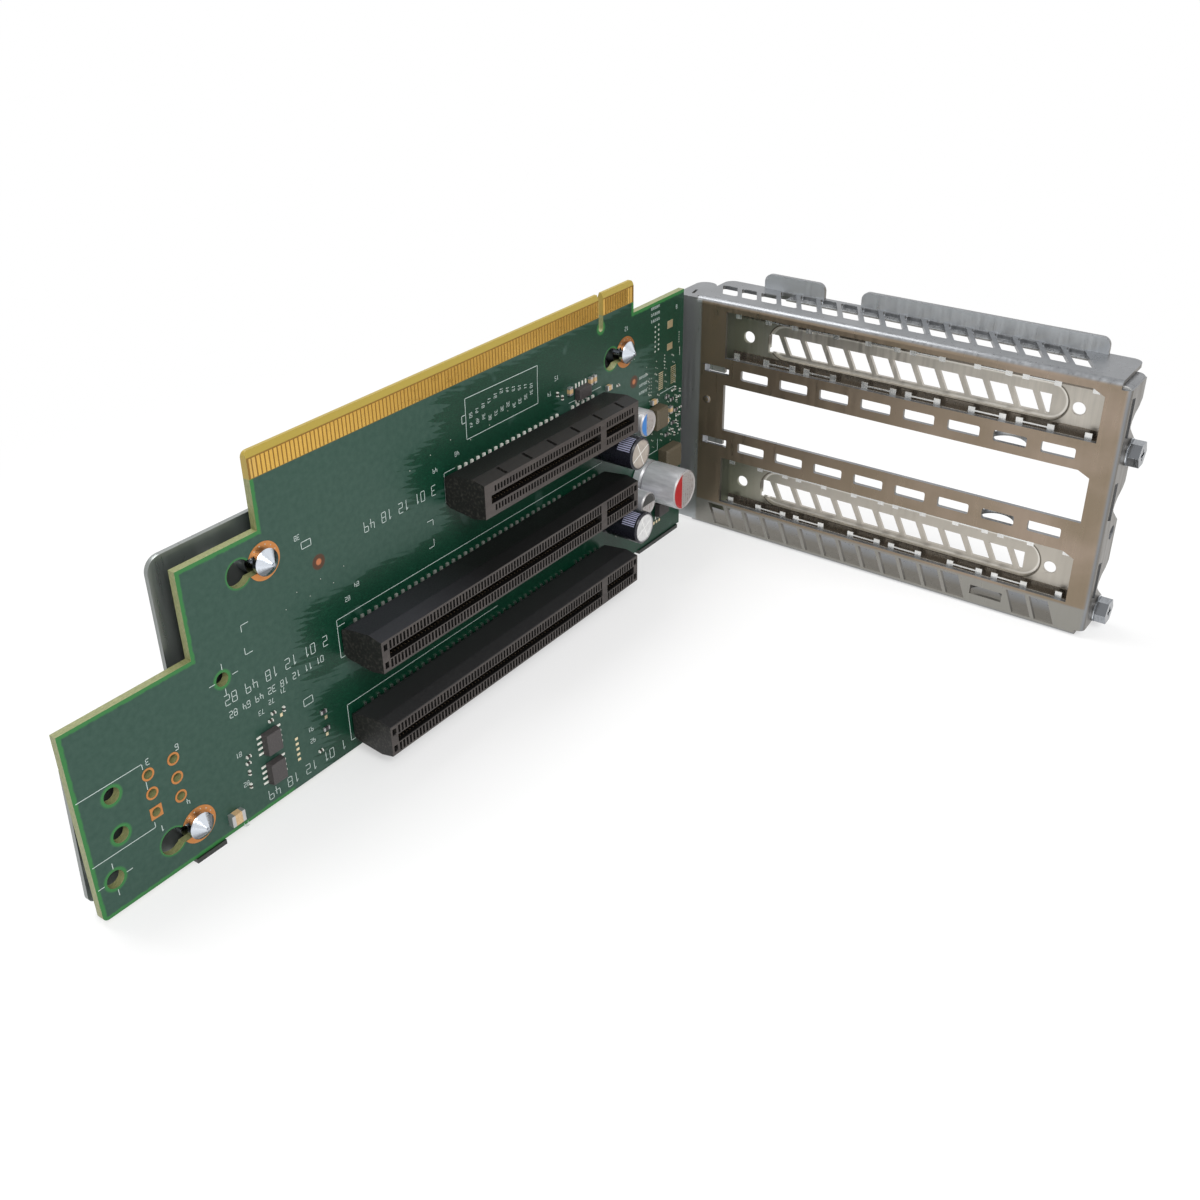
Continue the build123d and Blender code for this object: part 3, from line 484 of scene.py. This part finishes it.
def sleeved_can(name, cx, cz, radius, bare_grey):
    """Black shrink sleeve with pale bars, and a bare end scored with a turned cross."""
    paint = Paint(name, srgb(34, 34, 40), roughness=0.3)
    side = paint.minus(paint.x, cx)
    rise = paint.minus(paint.z, cz)
    on_end = paint.falling(paint.facing(1), -0.9, -0.7)
    bare = paint.times(on_end, paint.disc(cx, cz, radius - 0.55))
    turn = math.radians(24)
    along = paint.plus(paint.times(side, math.cos(turn)), paint.times(rise, math.sin(turn)))
    across = paint.minus(paint.times(rise, math.cos(turn)), paint.times(side, math.sin(turn)))
    score = paint.either([paint.between(value, -0.1, 0.1) for value in (along, across)])
    marks = paint.noise(1.4, 3.0)
    silver = paint.mottled(marks, 0.3, 0.7, bare_grey, toned(bare_grey, 1.25))
    end_color = paint.mix(score, silver, srgb(236, 236, 234))
    angle = paint.math("ARCTAN2", rise, side)
    bars = paint.math("PINGPONG", paint.times(angle, 7.5), 0.5)
    band = paint.times(
        paint.between(angle, 1.75, 2.75, 0.02), paint.between(paint.y, -11.2, -7.6))
    stripe = paint.times(band, paint.ramp(bars, 0.2, 0.26))
    sleeve = paint.mix(stripe, srgb(26, 26, 34), srgb(168, 170, 196))
    paint.set(Base_Color=paint.mix(bare, sleeve, end_color))
    paint.set(Metallic=paint.times(bare, 0.5))
    gloss = paint.ramp(marks, 0.3, 0.7, 0.24, 0.38)
    paint.set(Roughness=paint.plus(gloss, paint.times(bare, 0.3)))
    return paint.material


def housing_plastic():
    """Connector moulding: near black, with a lighter blotched front, painted light on the tops,
    dusty ends and painted shade in the slots.
    """
    paint = Paint("connector_housing", srgb(38, 34, 35), roughness=0.42, specular=0.3)
    grain = paint.noise(3.0, 4.0)
    # Blotches for the lighter front face.
    front_blotches = paint.noise(0.35, 4.0, (0.4, 1, 1.5))
    dark = paint.mottled(grain, 0.45, 0.8, srgb(22, 21, 21), srgb(38, 36, 36))
    face = paint.mottled(front_blotches, 0.35, 0.7, srgb(56, 51, 49), srgb(70, 64, 61))
    dust = paint.mottled(paint.noise(1.7, 4.0), 0.5, 0.72, srgb(30, 29, 28), srgb(62, 60, 56))
    left_end = paint.falling(paint.facing(0), -0.95, -0.7)
    # Painted light: faces turned up are drawn lighter, on the middle connector lighter towards its
    # left.
    middle_top_light = paint.mottled(paint.x, -78.0, -55.0, srgb(45, 45, 49), srgb(19, 19, 19))
    lower_top_light = paint.mottled(grain, 0.35, 0.7, srgb(36, 36, 37), srgb(44, 44, 44))
    top_light = paint.mottled(paint.z, -12.0, -8.0, lower_top_light, middle_top_light)
    outside = paint.either([paint.between(paint.z, 2.8, 7.0), paint.between(paint.z, -17.5, -12.0)])
    top = paint.times(paint.ramp(paint.facing(2), 0.3, 0.6), outside)
    # Painted shade: level faces inside the slots are drawn near black.
    slot_half = 1.1
    slot_middles = [middle(f"{slot}_connector").z for slot in ("upper", "middle", "lower")]
    in_slot = paint.either(
        [paint.between(paint.z, z - slot_half, z + slot_half) for z in slot_middles])
    level = paint.ramp(paint.math("ABSOLUTE", paint.facing(2)), 0.8, 0.95)
    front = paint.times(
        paint.falling(paint.facing(1), -0.95, -0.6), paint.falling(paint.y, -11.0, -10.6))
    paint.set(Base_Color=paint.layers(
        dark,
        (left_end, dust),
        (top, top_light),
        (paint.times(in_slot, level), srgb(9, 8, 8)),
        (front, face),
    ))
    paint.set(Roughness=paint.ramp(grain, 0.3, 0.7, 0.34, 0.52))
    paint.bump(grain, 0.15, 0.05)
    return paint.material


def chip_with_ends(name, color, node):
    """Small ceramic block with tinned ends along its longer side."""
    low, high = extent(node)
    paint = Paint(name, color, roughness=0.45)
    wide = high.x - low.x > high.z - low.z
    value = paint.x if wide else paint.z
    first, last = (low.x, high.x) if wide else (low.z, high.z)
    cap = (last - first) * 0.24
    body = paint.between(value, first + cap, last - cap, 0.02)
    grainy = paint.mottled(paint.noise(4.0, 3.0), 0.3, 0.7, color, toned(color, 1.35))
    paint.set(Base_Color=paint.mix(body, srgb(196, 196, 196), grainy))
    paint.set(Metallic=paint.ramp(body, 0.0, 1.0, 0.9, 0.0))
    return paint.material


steel = bracket_metal()
# Painted glint: tin drawn near-white and not metallic, for tails, leads and the ends of small
# parts.
solder = moulding("solder", srgb(206, 206, 198), srgb(238, 238, 232), 0.25, 1.2)
via_solder = moulding("via_solder", srgb(160, 164, 154), srgb(192, 194, 186), 0.3, 1.2)
bronze = bright_metal("contact_bronze", srgb(120, 106, 88), 0.42)
housing = housing_plastic()
ink = moulding("print_ink", srgb(176, 188, 184), srgb(200, 208, 204), 0.6)
film = moulding("small_part_body", srgb(46, 44, 42), srgb(96, 84, 66), 0.5, 0.35)
pad_metal = bright_metal("bare_pads", srgb(236, 220, 184), 0.38)

finish_of_node = {
    "bracket": steel,
    "riser_board": circuit_board(),
    "upper_tails": solder,
    "chip_leads": solder,
    # Painted shade: the middle tails get a darker copy of the solder.
    "middle_tails": moulding(
        "shaded_solder", srgb(112, 116, 110), srgb(146, 148, 142), 0.35, 1.2),
    "lower_tails": bright_metal("tinned_tails", srgb(236, 236, 232), 0.3, 0.2),
    "top_strip": strip_metal(),
    "edge_contacts": bright_metal("gold_plate", srgb(216, 174, 88), 0.3),
    "copper_rings": bright_metal("bare_copper", srgb(200, 136, 82), 0.4),
}
finish_of_kind = {
    "connector": housing,
    "stud": bright_metal("bright_plate", srgb(214, 220, 228), 0.16, 0.7),
    "screw": bright_metal("screw_plate", srgb(238, 243, 250), 0.14, 0.8),
    "filler": filler_metal(),
    "spring": spring_metal(),
    "chip": moulding("chip_body", srgb(58, 54, 54), srgb(76, 72, 71), 0.5),
    "inductor": moulding("inductor_body", srgb(78, 70, 54), srgb(98, 90, 74), 0.55),
}
ink_of_can = {
    "large_capacitor": (srgb(160, 14, 18), "x"),
    "upper_silver_capacitor": (srgb(50, 118, 188), "x"),
    "lower_silver_capacitor": (srgb(46, 45, 42), "z"),
}
bare_end_of_can = {
    "upper_black_capacitor": srgb(170, 161, 152),
    "lower_black_capacitor": srgb(202, 202, 202),
}


def kind(name):
    """Last word of a node's name: lower_left_chip is a chip."""
    return name.split("_")[-1]


def finish(name):
    """Material of a CAD node."""
    low, high = extent(name)
    centre = (low + high) / 2
    radius = (high.x - low.x) / 2
    if name in ink_of_can:
        inked, cut = ink_of_can[name]
        return can_end(f"{name}_metal", inked, centre.x, centre.z, radius, low.y, cut)
    if name in bare_end_of_can:
        return sleeved_can(f"{name}_sleeve", centre.x, centre.z, radius, bare_end_of_can[name])
    if name.startswith("ceramic_capacitor"):
        return chip_with_ends(f"{name}_ceramic", srgb(178, 150, 112), name)
    if name.startswith("chip_resistor"):
        return chip_with_ends(f"{name}_film", srgb(40, 40, 42), name)
    if name in finish_of_node:
        return finish_of_node[name]
    return finish_of_kind[kind(name)]


for name, node in nodes.items():
    node.data.materials.clear()
    node.data.materials.append(finish(name))


def circle(sides):
    """Points of a unit circle."""
    turns = [2 * math.pi * i / sides for i in range(sides)]
    return [(math.cos(turn), math.sin(turn)) for turn in turns]


def skin(mesh, rings):
    """Solid over rings of places in datum millimetres, closed at both ends; returns its faces."""
    rings = [[mesh.verts.new(at(*place)) for place in ring] for ring in rings]
    sides = len(rings[0])
    faces = [mesh.faces.new(rings[-1]), mesh.faces.new(rings[0][::-1])]
    for lower, upper in zip(rings, rings[1:]):
        for i in range(sides):
            j = (i + 1) % sides
            faces.append(mesh.faces.new((lower[i], lower[j], upper[j], upper[i])))
    return faces


def block(mesh, low, high, inset=0.0, material=0):
    """Box between two corners in datum millimetres, its outer face drawn in by inset."""
    rings = []
    for y, gap in ((high[1], 0.0), (low[1], inset)):
        x0, x1 = low[0] + gap, high[0] - gap
        z0, z1 = low[2] + gap, high[2] - gap
        rings.append([(x0, y, z0), (x1, y, z0), (x1, y, z1), (x0, y, z1)])
    for face in skin(mesh, rings):
        face.material_index = material


def ribbon(mesh, points, width):
    """Printed line through (x, z) points on the board's face."""
    lift = 0.03
    for (x0, z0), (x1, z1) in zip(points, points[1:]):
        share = width / 2 / math.hypot(x1 - x0, z1 - z0)
        ux, uz = (x1 - x0) * share, (z1 - z0) * share
        corners = ((x0 - ux - uz, z0 - uz + ux), (x0 - ux + uz, z0 - uz - ux),
                   (x1 + ux + uz, z1 + uz - ux), (x1 + ux - uz, z1 + uz + ux))
        skin(mesh, [[(x, y, z) for x, z in corners] for y in (lift, -lift)])


def dot(mesh, x, z, radius, lift=0.06):
    """Low domed dot on the board's face."""
    skin(mesh, [
        [(x + radius * size * u, y, z + radius * size * v) for u, v in circle(8)]
        for y, size in ((0.02, 1.0), (-lift * 0.6, 1.0), (-lift, 0.6))
    ])


def make_object(name, mesh):
    """Turn a bmesh into an object of the scene."""
    bmesh.ops.recalc_face_normals(mesh, faces=mesh.faces)
    data = bpy.data.meshes.new(name)
    mesh.to_mesh(data)
    mesh.free()
    made = bpy.data.objects.new(name, data)
    bpy.context.scene.collection.objects.link(made)
    return made


def add_piece(name, mesh, materials):
    """Turn a bmesh into a piece that rides on the body."""
    piece = make_object(name, mesh)
    for material in materials:
        piece.data.materials.append(material)
    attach(piece, "root")
    return piece


def round_edges(piece, width, angle):
    """Round the edges that are sharper than an angle in degrees."""
    bevel = piece.modifiers.new("edges", "BEVEL")
    bevel.width = width * mm
    bevel.segments = 2
    bevel.limit_method = "ANGLE"
    bevel.angle_limit = math.radians(angle)


def dress_connector(slot_name, first_x, slit_low, slit_high):
    """Cut the contact slits into a connector's front and set its contacts."""
    slit_half, slit_depth = 0.29, 2.2
    last_x, pitch = -2.0, 1.0
    key_left, key_right = -15.4, -12.6
    node_name = f"{slot_name}_connector"
    centre_z = middle(node_name).z
    front_y = extent("middle_connector")[0].y
    count = int((last_x - first_x) / pitch) + 1
    contact_xs = [first_x + index * pitch for index in range(count)]
    contact_xs = [x for x in contact_xs if not key_left < x < key_right]

    slits = bmesh.new()
    for x in contact_xs:
        for z0, z1 in ((slit_low, slit_high), (-slit_high, -slit_low)):
            block(slits, (x - slit_half, front_y - 1, centre_z + z0),
                  (x + slit_half, front_y + slit_depth, centre_z + z1))
    cutter = make_object("slits", slits)

    body = bmesh.new()
    body.from_mesh(nodes[node_name].data)
    bmesh.ops.remove_doubles(body, verts=body.verts, dist=weld_distance)
    bmesh.ops.dissolve_limit(body, angle_limit=0.02, verts=body.verts, edges=body.edges)
    shell = add_piece(f"{node_name}_shell", body, [housing])
    round_edges(shell, 0.18, 12)
    cut = shell.modifiers.new("slits", "BOOLEAN")
    cut.operation = "DIFFERENCE"
    cut.solver = "EXACT"
    cut.object = cutter
    graph = bpy.context.evaluated_depsgraph_get()
    carved = bpy.data.meshes.new_from_object(shell.evaluated_get(graph))
    shell.modifiers.clear()
    shell.data = carved
    bpy.data.objects.remove(cutter)
    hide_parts(node_name)

    wall, tip, tip_half = 0.93, 0.5, 0.22
    tip_start, tip_end = front_y + 1.0, front_y + 7.5
    pin_half_x, pin_half_z = 0.16, 0.3
    pin_start, pin_end = front_y + 1.3, front_y + slit_depth + 0.1
    contacts = bmesh.new()
    for x in contact_xs:
        for side in (-1, 1):
            z0, z1 = sorted((centre_z + side * wall, centre_z + side * tip))
            block(contacts, (x - tip_half, tip_start, z0), (x + tip_half, tip_end, z1), 0.1)
            slit_z = centre_z + side * (slit_low + slit_high) / 2
            block(contacts, (x - pin_half_x, pin_start, slit_z - pin_half_z),
                  (x + pin_half_x, pin_end, slit_z + pin_half_z), 0.08)
    add_piece(f"{slot_name}_contacts", contacts, [bronze])


dress_connector("upper", -52.5, 1.5, 2.85)
dress_connector("middle", -86.5, 1.2, 3.1)
dress_connector("lower", -86.5, 1.2, 3.1)

digit_strokes = {
    " ": [],
    "0": [[(0, 0), (1, 0), (1, 2), (0, 2), (0, 0)]],
    "1": [[(0.5, 0), (0.5, 2), (0.15, 1.6)]],
    "2": [[(0, 2), (1, 2), (1, 1), (0, 1), (0, 0), (1, 0)]],
    "3": [[(0, 2), (1, 2), (1, 0), (0, 0)], [(0.3, 1), (1, 1)]],
    "4": [[(0, 2), (0, 0.8), (1, 0.8)], [(0.8, 1.6), (0.8, 0)]],
    "5": [[(1, 2), (0, 2), (0, 1), (1, 1), (1, 0), (0, 0)]],
    "6": [[(1, 2), (0, 2), (0, 0), (1, 0), (1, 1), (0, 1)]],
    "7": [[(0, 2), (1, 2), (0.4, 0)]],
    "8": [[(0, 0), (1, 0), (1, 2), (0, 2), (0, 0)], [(0, 1), (1, 1)]],
    "9": [[(1, 0), (1, 2), (0, 2), (0, 1), (1, 1)]],
}


def number(mesh, digits, x, z, height, width, turned=False):
    """Plain number printed upside down at (x, z), or turned to read downwards."""
    half, step = height * 0.5, height * 0.75
    for index, digit in enumerate(digits):
        for stroke in digit_strokes[digit]:
            points = []
            for u, v in stroke:
                across, down = index * step + u * half, v * half
                points.append((x - down, z - across) if turned else (x - across, z - down))
            ribbon(mesh, points, width)


def print_board():
    """White print on the board: connector outlines, ticks, frames and plain numbers."""
    mesh = bmesh.new()
    wide, fine, hair = 0.13, 0.1, 0.09
    lines = [
        [(-151.1, 0.0), (-137.7, 0.0), (-137.7, -1.1)],
        [(-151.1, -14.1), (-137.7, -14.1), (-137.7, -13.0)],
        [(-137.6, -4.0), (-137.6, -5.6)],
        [(-110.6, 15.5), (-112.3, 15.5), (-112.3, 14.2)],
        [(-112.3, 10.6), (-112.3, 9.2), (-110.6, 9.2)],
        [(-61.7, 15.2), (-60.0, 15.2), (-60.0, 13.9)],
        [(-60.2, 10.6), (-60.2, 9.0), (-61.7, 9.0)],
        [(-23.4, 34.1), (-23.4, 28.8), (-47.8, 28.8), (-47.7, 37.9), (-23.2, 37.6), (-23.4, 34.1)],
        [(-48.0, 34.4), (-49.0, 34.4), (-49.0, 32.7), (-48.0, 32.7)],
        [(-52.2, 24.0), (-55.6, 24.0), (-55.6, 17.2), (-53.9, 16.2)],
        [(-41.0, 5.2), (-89.6, 5.2), (-89.6, -3.6), (-88.4, -3.6)],
        [(-89.6, 3.7), (-87.6, 3.7)],
        [(0.6, 5.2), (-41.0, 5.2)],
        [(-41.0, -15.1), (-89.6, -15.1), (-89.6, -24.0), (-88.4, -24.0)],
        [(0.6, 24.9), (-12.0, 24.9)],
        [(-100.6, -7.6), (-98.2, -7.6), (-98.2, -9.2), (-100.6, -9.2), (-100.6, -7.6)],
        [(-95.8, 25.3), (-93.4, 25.3), (-93.4, 23.9), (-95.8, 23.9), (-95.8, 25.3)],
        [(26.6, 14.6), (33.2, 14.6)],
        [(20.6, -0.6), (25.6, -0.6), (25.6, 2.4)],
    ]
    tick = 1.2
    board_left = extent("riser_board")[0].x
    for x, z, reach in ((-117.9, 6.9, 2.1), (-147.5, -19.2, 2.4)):
        for dx, dz in ((1, 0), (-1, 0), (0, 1), (0, -1)):
            start = (x + dx * reach, z + dz * reach)
            end = (x + dx * (reach + tick), z + dz * (reach + tick))
            if board_left < end[0]:
                lines.append([start, end])
    for points in lines:
        ribbon(mesh, points, wide)
    for digits, x, z, height in (
        ("3 01 12 18 49", -58.6, 22.6, 2.2), ("2 01 12 18 49 82", -92.6, 3.4, 2.2),
        ("1 01 12 18 49", -91.4, -22.6, 2.2), ("01 11 12 18 32 49 64 82", -94.2, -0.4, 1.4),
        ("3", -136.2, 0.4, 1.2), ("6", -129.9, -0.2, 1.2),
        ("4", -129.9, -12.6, 1.2), ("1", -136.2, -14.6, 1.2),
    ):
        number(mesh, digits, x, z, height, wide)
    for index in range(11):
        x = -25.2 - 2.05 * index
        number(mesh, str(10 + index), x, 36.4 - 0.42 * abs(5 - index), 0.85, fine, True)
        number(mesh, str(31 + index), x, 32.6 - 0.3 * (index % 4), 0.85, fine, True)
    for column in range(5):
        for row in range(3):
            step = 7 * row + column
            number(mesh, str(52 + step), 20.4 - 0.72 * column, 22.0 - 2.0 * row, 0.5, hair, True)
            number(mesh, str(31 + step), 25.8 - 0.8 * column, 38.2 - 1.6 * row, 0.5, hair, True)
    for x, z, digits in (
        (-104.6, -2.2, "71"), (-107.6, -3.0, "72"), (-110.3, -4.0, "73"), (-117.0, -10.0, "81"),
        (-116.4, -17.2, "82"), (-99.2, -14.6, "91"), (-99.0, -17.4, "92"), (-118.0, -26.0, "74"),
        (-50.6, 27.4, "48"), (-57.6, 26.2, "49"), (-85.4, 9.0, "82"), (-82.6, 11.0, "84"),
        (12.0, 36.6, "12"), (33.8, 36.0, "8"), (-96.0, 27.2, "38"), (-18.6, 30.0, "14"),
        (-15.8, 33.0, "15"),
    ):
        number(mesh, digits, x, z, 1.0, fine)
    add_piece("board_print", mesh, [ink])


def panel_dimple(y, z, radius, rise):
    """Low round dimple on the panel's inner face, with a flat rim."""
    mesh = bmesh.new()
    face_x = 41.28
    skin(mesh, [
        [(face_x - rise * height, y + radius * size * u, z + radius * size * v)
         for u, v in circle(24)]
        for size, height in ((1.0, -0.05), (1.0, 0.03), (0.8, 0.06), (0.6, 0.7), (0.3, 0.95))
    ])
    piece = add_piece("panel_dimple", mesh, [steel])
    for face in piece.data.polygons:
        face.use_smooth = True


def small_part(mesh, x, z, length, width, height, upright):
    """Chip part with tinned ends, long side along X or upright along Z."""
    end, side, cap = length / 2, width / 2, length * 0.26
    body, tin = 0, 1
    for start, stop, half, rise, material in (
        (-end, cap - end, side, height, tin),
        (end - cap, end, side, height, tin),
        (cap - end, end - cap, side - 0.03, height * 0.92, body),
    ):
        if upright:
            low, high = (x - half, -rise, z + start), (x + half, 0.0, z + stop)
        else:
            low, high = (x + start, -rise, z - half), (x + stop, 0.0, z + half)
        block(mesh, low, high, 0.06, material)


def clear_of(boxes, x, z, gap):
    """Whether a place on the board's face keeps a gap from every box."""
    return all(
        x < low.x - gap or x > high.x + gap or z < low.z - gap or z > high.z + gap
        for low, high in boxes
    )


def add_small_parts():
    """Smallest chip parts: some placed by the photograph, the rest spread at the right end."""
    mesh = bmesh.new()
    for x, z, upright in (
        (-108.3, -6.1, False), (-109.2, -7.4, False), (-105.7, -6.6, True),
        (-115.6, -12.0, False), (-115.9, -13.4, False), (-116.0, -15.6, True),
        (-116.2, -18.6, True), (-98.1, -21.4, False), (-16.4, 28.6, True), (-14.6, 27.2, True),
        (7.6, 23.0, False), (16.6, 13.4, True), (18.4, 12.8, True), (11.6, 2.4, True),
        (13.2, 3.2, True), (21.0, -13.4, False), (23.4, -13.0, True), (32.4, -14.0, True),
        (33.8, -18.0, True), (20.2, -17.6, True), (20.4, -21.6, False), (6.4, -17.0, True),
        (8.2, -17.6, True),
    ):
        small_part(mesh, x, z, 1.1, 0.55, 0.45, upright)
    taken = [
        extent(name) for name in nodes
        if name.startswith(("ceramic_", "chip_")) or kind(name) == "inductor"
    ]
    for row in range(9):
        for column in range(6):
            x = 27.3 + 1.55 * column + 0.35 * ((row * 5 + column * 3) % 4)
            z = 0.9 + 1.6 * row + 0.3 * ((row * 3 + column * 7) % 3)
            if clear_of(taken, x, z, 1.0) and (row * 7 + column * 5) % 3:
                small_part(mesh, x, z, 0.9, 0.45, 0.35, (row + column) % 2 == 0)
    add_piece("small_parts", mesh, [film, solder])


def add_pads():
    """Bare pads without parts."""
    mesh = bmesh.new()
    areas = [(29.5, 31.9, 30.8, 32.8), (29.5, 31.9, 25.1, 26.9)]
    for row in range(9):
        z0, z1 = 15.7 + row * 0.54, 15.94 + row * 0.54
        areas += [(25.8, 27.8, z0, z1), (31.4, 33.7, z0, z1)]
    for row in range(5):
        areas.append((-104.1, -103.3, -20.4 + row * 1.25, -19.8 + row * 1.25))
    for x, z in (
        (-106.4, -7.7), (-95.5, -14.6), (-95.8, -18.6), (24.4, -21.5), (25.7, -21.5), (27.0, -21.5),
    ):
        areas.append((x - 0.35, x + 0.35, z - 0.4, z + 0.4))
    rise, sunk = 0.05, 0.02
    for x0, x1, z0, z1 in areas:
        block(mesh, (x0, -rise, z0), (x1, sunk, z1), 0.03)
    add_piece("bare_pads", mesh, [pad_metal])


def add_vias():
    """Solder dots: rows of vias, a spread of tiny ones at the right end, rings round the studs."""
    mesh = bmesh.new()
    dots = []
    for row in range(6):
        dots += [
            (24.0, 32.9 - row * 1.27, 0.3),
            (25.5, 33.1 - row * 1.27, 0.3),
            (22.4, 20.0 - row * 0.9, 0.14),
            (21.5, 20.2 - row * 0.9, 0.14),
            (34.4, 4.4 + row * 0.7, 0.15),
            (-34.0 - row * 6.3, 30.6 - (row % 3) * 1.1, 0.12),
            (-101.5 + row * 3.1, 13.6 + (row % 2) * 2.3, 0.1),
        ]
    for row in range(5):
        dots += [
            (28.4, 24.3 - row * 0.85, 0.2),
            (35.0, 28.5 - row * 0.64, 0.18),
            (35.4, 24.3 - row * 0.45, 0.18),
            (10.4 + row * 1.1, 27.4, 0.14),
        ]
    taken = [extent(name) for name in nodes if kind(name) in ("capacitor", "inductor", "chip")]
    for index in range(110):
        x = 19.6 + (index * 7.31) % 16.0
        z = -3.0 + (index * 4.73) % 27.0
        if clear_of(taken, x, z, 0.4):
            dots.append((x, z, 0.12 + 0.05 * (index % 3)))
    for x, z, radius in dots:
        dot(mesh, x, z, radius)
    ring_radius = 3.2
    for name in nodes:
        if kind(name) == "stud":
            centre = middle(name)
            for turn in range(9):
                angle = math.radians(-50 + 25 * turn)
                dot(mesh, centre.x + ring_radius * math.cos(angle),
                    centre.z + ring_radius * math.sin(angle), 0.13, 0.11)
    add_piece("board_vias", mesh, [via_solder])


print_board()
panel_dimple(-5.1, 9.4, 1.1, 0.35)
add_small_parts()
add_pads()
add_vias()

rounding_of_kind = {"bracket": 0.12, "filler": 0.12, "screw": 0.3, "chip": 0.15, "inductor": 0.15}
for name, node in nodes.items():
    rounding = rounding_of_kind.get(kind(name))
    if name.startswith(("ceramic_capacitor", "chip_resistor")):
        rounding = 0.08
    if rounding:
        weld = node.modifiers.new("weld", "WELD")
        weld.merge_threshold = weld_distance
        round_edges(node, rounding, 30)


def seen_directly(tree):
    """1 for rays from the camera, a reflection or a clear surface."""
    path = tree.nodes.new("ShaderNodeLightPath")
    joined = path.outputs["Is Camera Ray"]
    for name in ("Is Glossy Ray", "Is Transmission Ray"):
        larger = tree.nodes.new("ShaderNodeMath")
        larger.operation = "MAXIMUM"
        tree.links.new(joined, larger.inputs[0])
        tree.links.new(path.outputs[name], larger.inputs[1])
        joined = larger.outputs[0]
    return joined


def floor_paper():
    """Pale paper that goes over to pure white away from the part."""
    paper = bpy.data.materials.new("floor_paper")
    paper.use_nodes = True
    tree = paper.node_tree
    shader = tree.nodes["Principled BSDF"]
    shader.inputs["Base Color"].default_value = (0.9, 0.9, 0.9, 1)
    shader.inputs["Roughness"].default_value = 0.9
    white = tree.nodes.new("ShaderNodeEmission")
    blend = tree.nodes.new("ShaderNodeMixShader")
    place = tree.nodes.new("ShaderNodeTexCoord")
    distance = tree.nodes.new("ShaderNodeVectorMath")
    distance.operation = "LENGTH"
    fade = tree.nodes.new("ShaderNodeMapRange")
    fade.interpolation_type = "SMOOTHSTEP"
    for socket, value in (
        ("From Min", 0.06), ("From Max", 0.26), ("To Min", 0.45), ("To Max", 1.0),
    ):
        fade.inputs[socket].default_value = value
    share = tree.nodes.new("ShaderNodeMath")
    share.operation = "MULTIPLY"
    for source, target in (
        (place.outputs["Object"], distance.inputs[0]),
        (distance.outputs["Value"], fade.inputs["Value"]),
        (fade.outputs[0], share.inputs[0]),
        (seen_directly(tree), share.inputs[1]),
        (share.outputs[0], blend.inputs[0]),
        (shader.outputs[0], blend.inputs[1]),
        (white.outputs[0], blend.inputs[2]),
        (blend.outputs[0], tree.nodes["Material Output"].inputs["Surface"]),
    ):
        tree.links.new(source, target)
    return paper


def place_lamp(name, place, target, power, size):
    """Square area lamp turned towards a target; places in metres, power in watts."""
    light = bpy.data.lights.new(name, "AREA")
    light.energy = power
    light.size = size
    holder = bpy.data.objects.new(name, light)
    bpy.context.scene.collection.objects.link(holder)
    holder.location = place
    aim = Vector(target) - Vector(place)
    holder.rotation_euler = aim.to_track_quat("-Z", "Y").to_euler()


def place_camera():
    """Camera fitted to the photograph."""
    camera = bpy.data.cameras.new("camera")
    camera.sensor_width = 36.0
    camera.lens = 40.115
    holder = bpy.data.objects.new("camera", camera)
    bpy.context.scene.collection.objects.link(holder)
    right = Vector((0.58049, -0.81421, -0.0092))
    forward = Vector((0.69903, 0.5041, -0.50719))
    turn = Matrix((right, right.cross(forward), -forward)).transposed()
    place = at(-242.225, -174.288, 142.138)
    holder.matrix_world = Matrix.Translation(place) @ turn.to_4x4()
    bpy.context.scene.camera = holder


def studio():
    """Pale floor, white surroundings, soft lamps and the camera."""
    scene = bpy.context.scene
    scene.view_settings.view_transform = "Standard"

    bpy.ops.mesh.primitive_plane_add(size=6, location=(0, 0, 0))
    floor = bpy.context.object
    floor.name = "floor"
    floor.data.materials.append(floor_paper())

    scene.world = bpy.data.worlds.new("studio")
    scene.world.use_nodes = True
    tree = scene.world.node_tree
    background = tree.nodes["Background"]
    background.inputs["Color"].default_value = (1, 1, 1, 1)
    strength = tree.nodes.new("ShaderNodeMapRange")
    strength.inputs["To Min"].default_value = 0.55
    strength.inputs["To Max"].default_value = 1.0
    tree.links.new(seen_directly(tree), strength.inputs["Value"])
    tree.links.new(strength.outputs[0], background.inputs["Strength"])

    place_lamp("key", (-0.7, -1.25, 1.25), (0.02, 0, 0.03), power=26.0, size=0.9)
    place_lamp("back", (0.02, 0.5, 0.9), (0.06, 0, 0.05), power=6.0, size=0.6)
    place_camera()


studio()
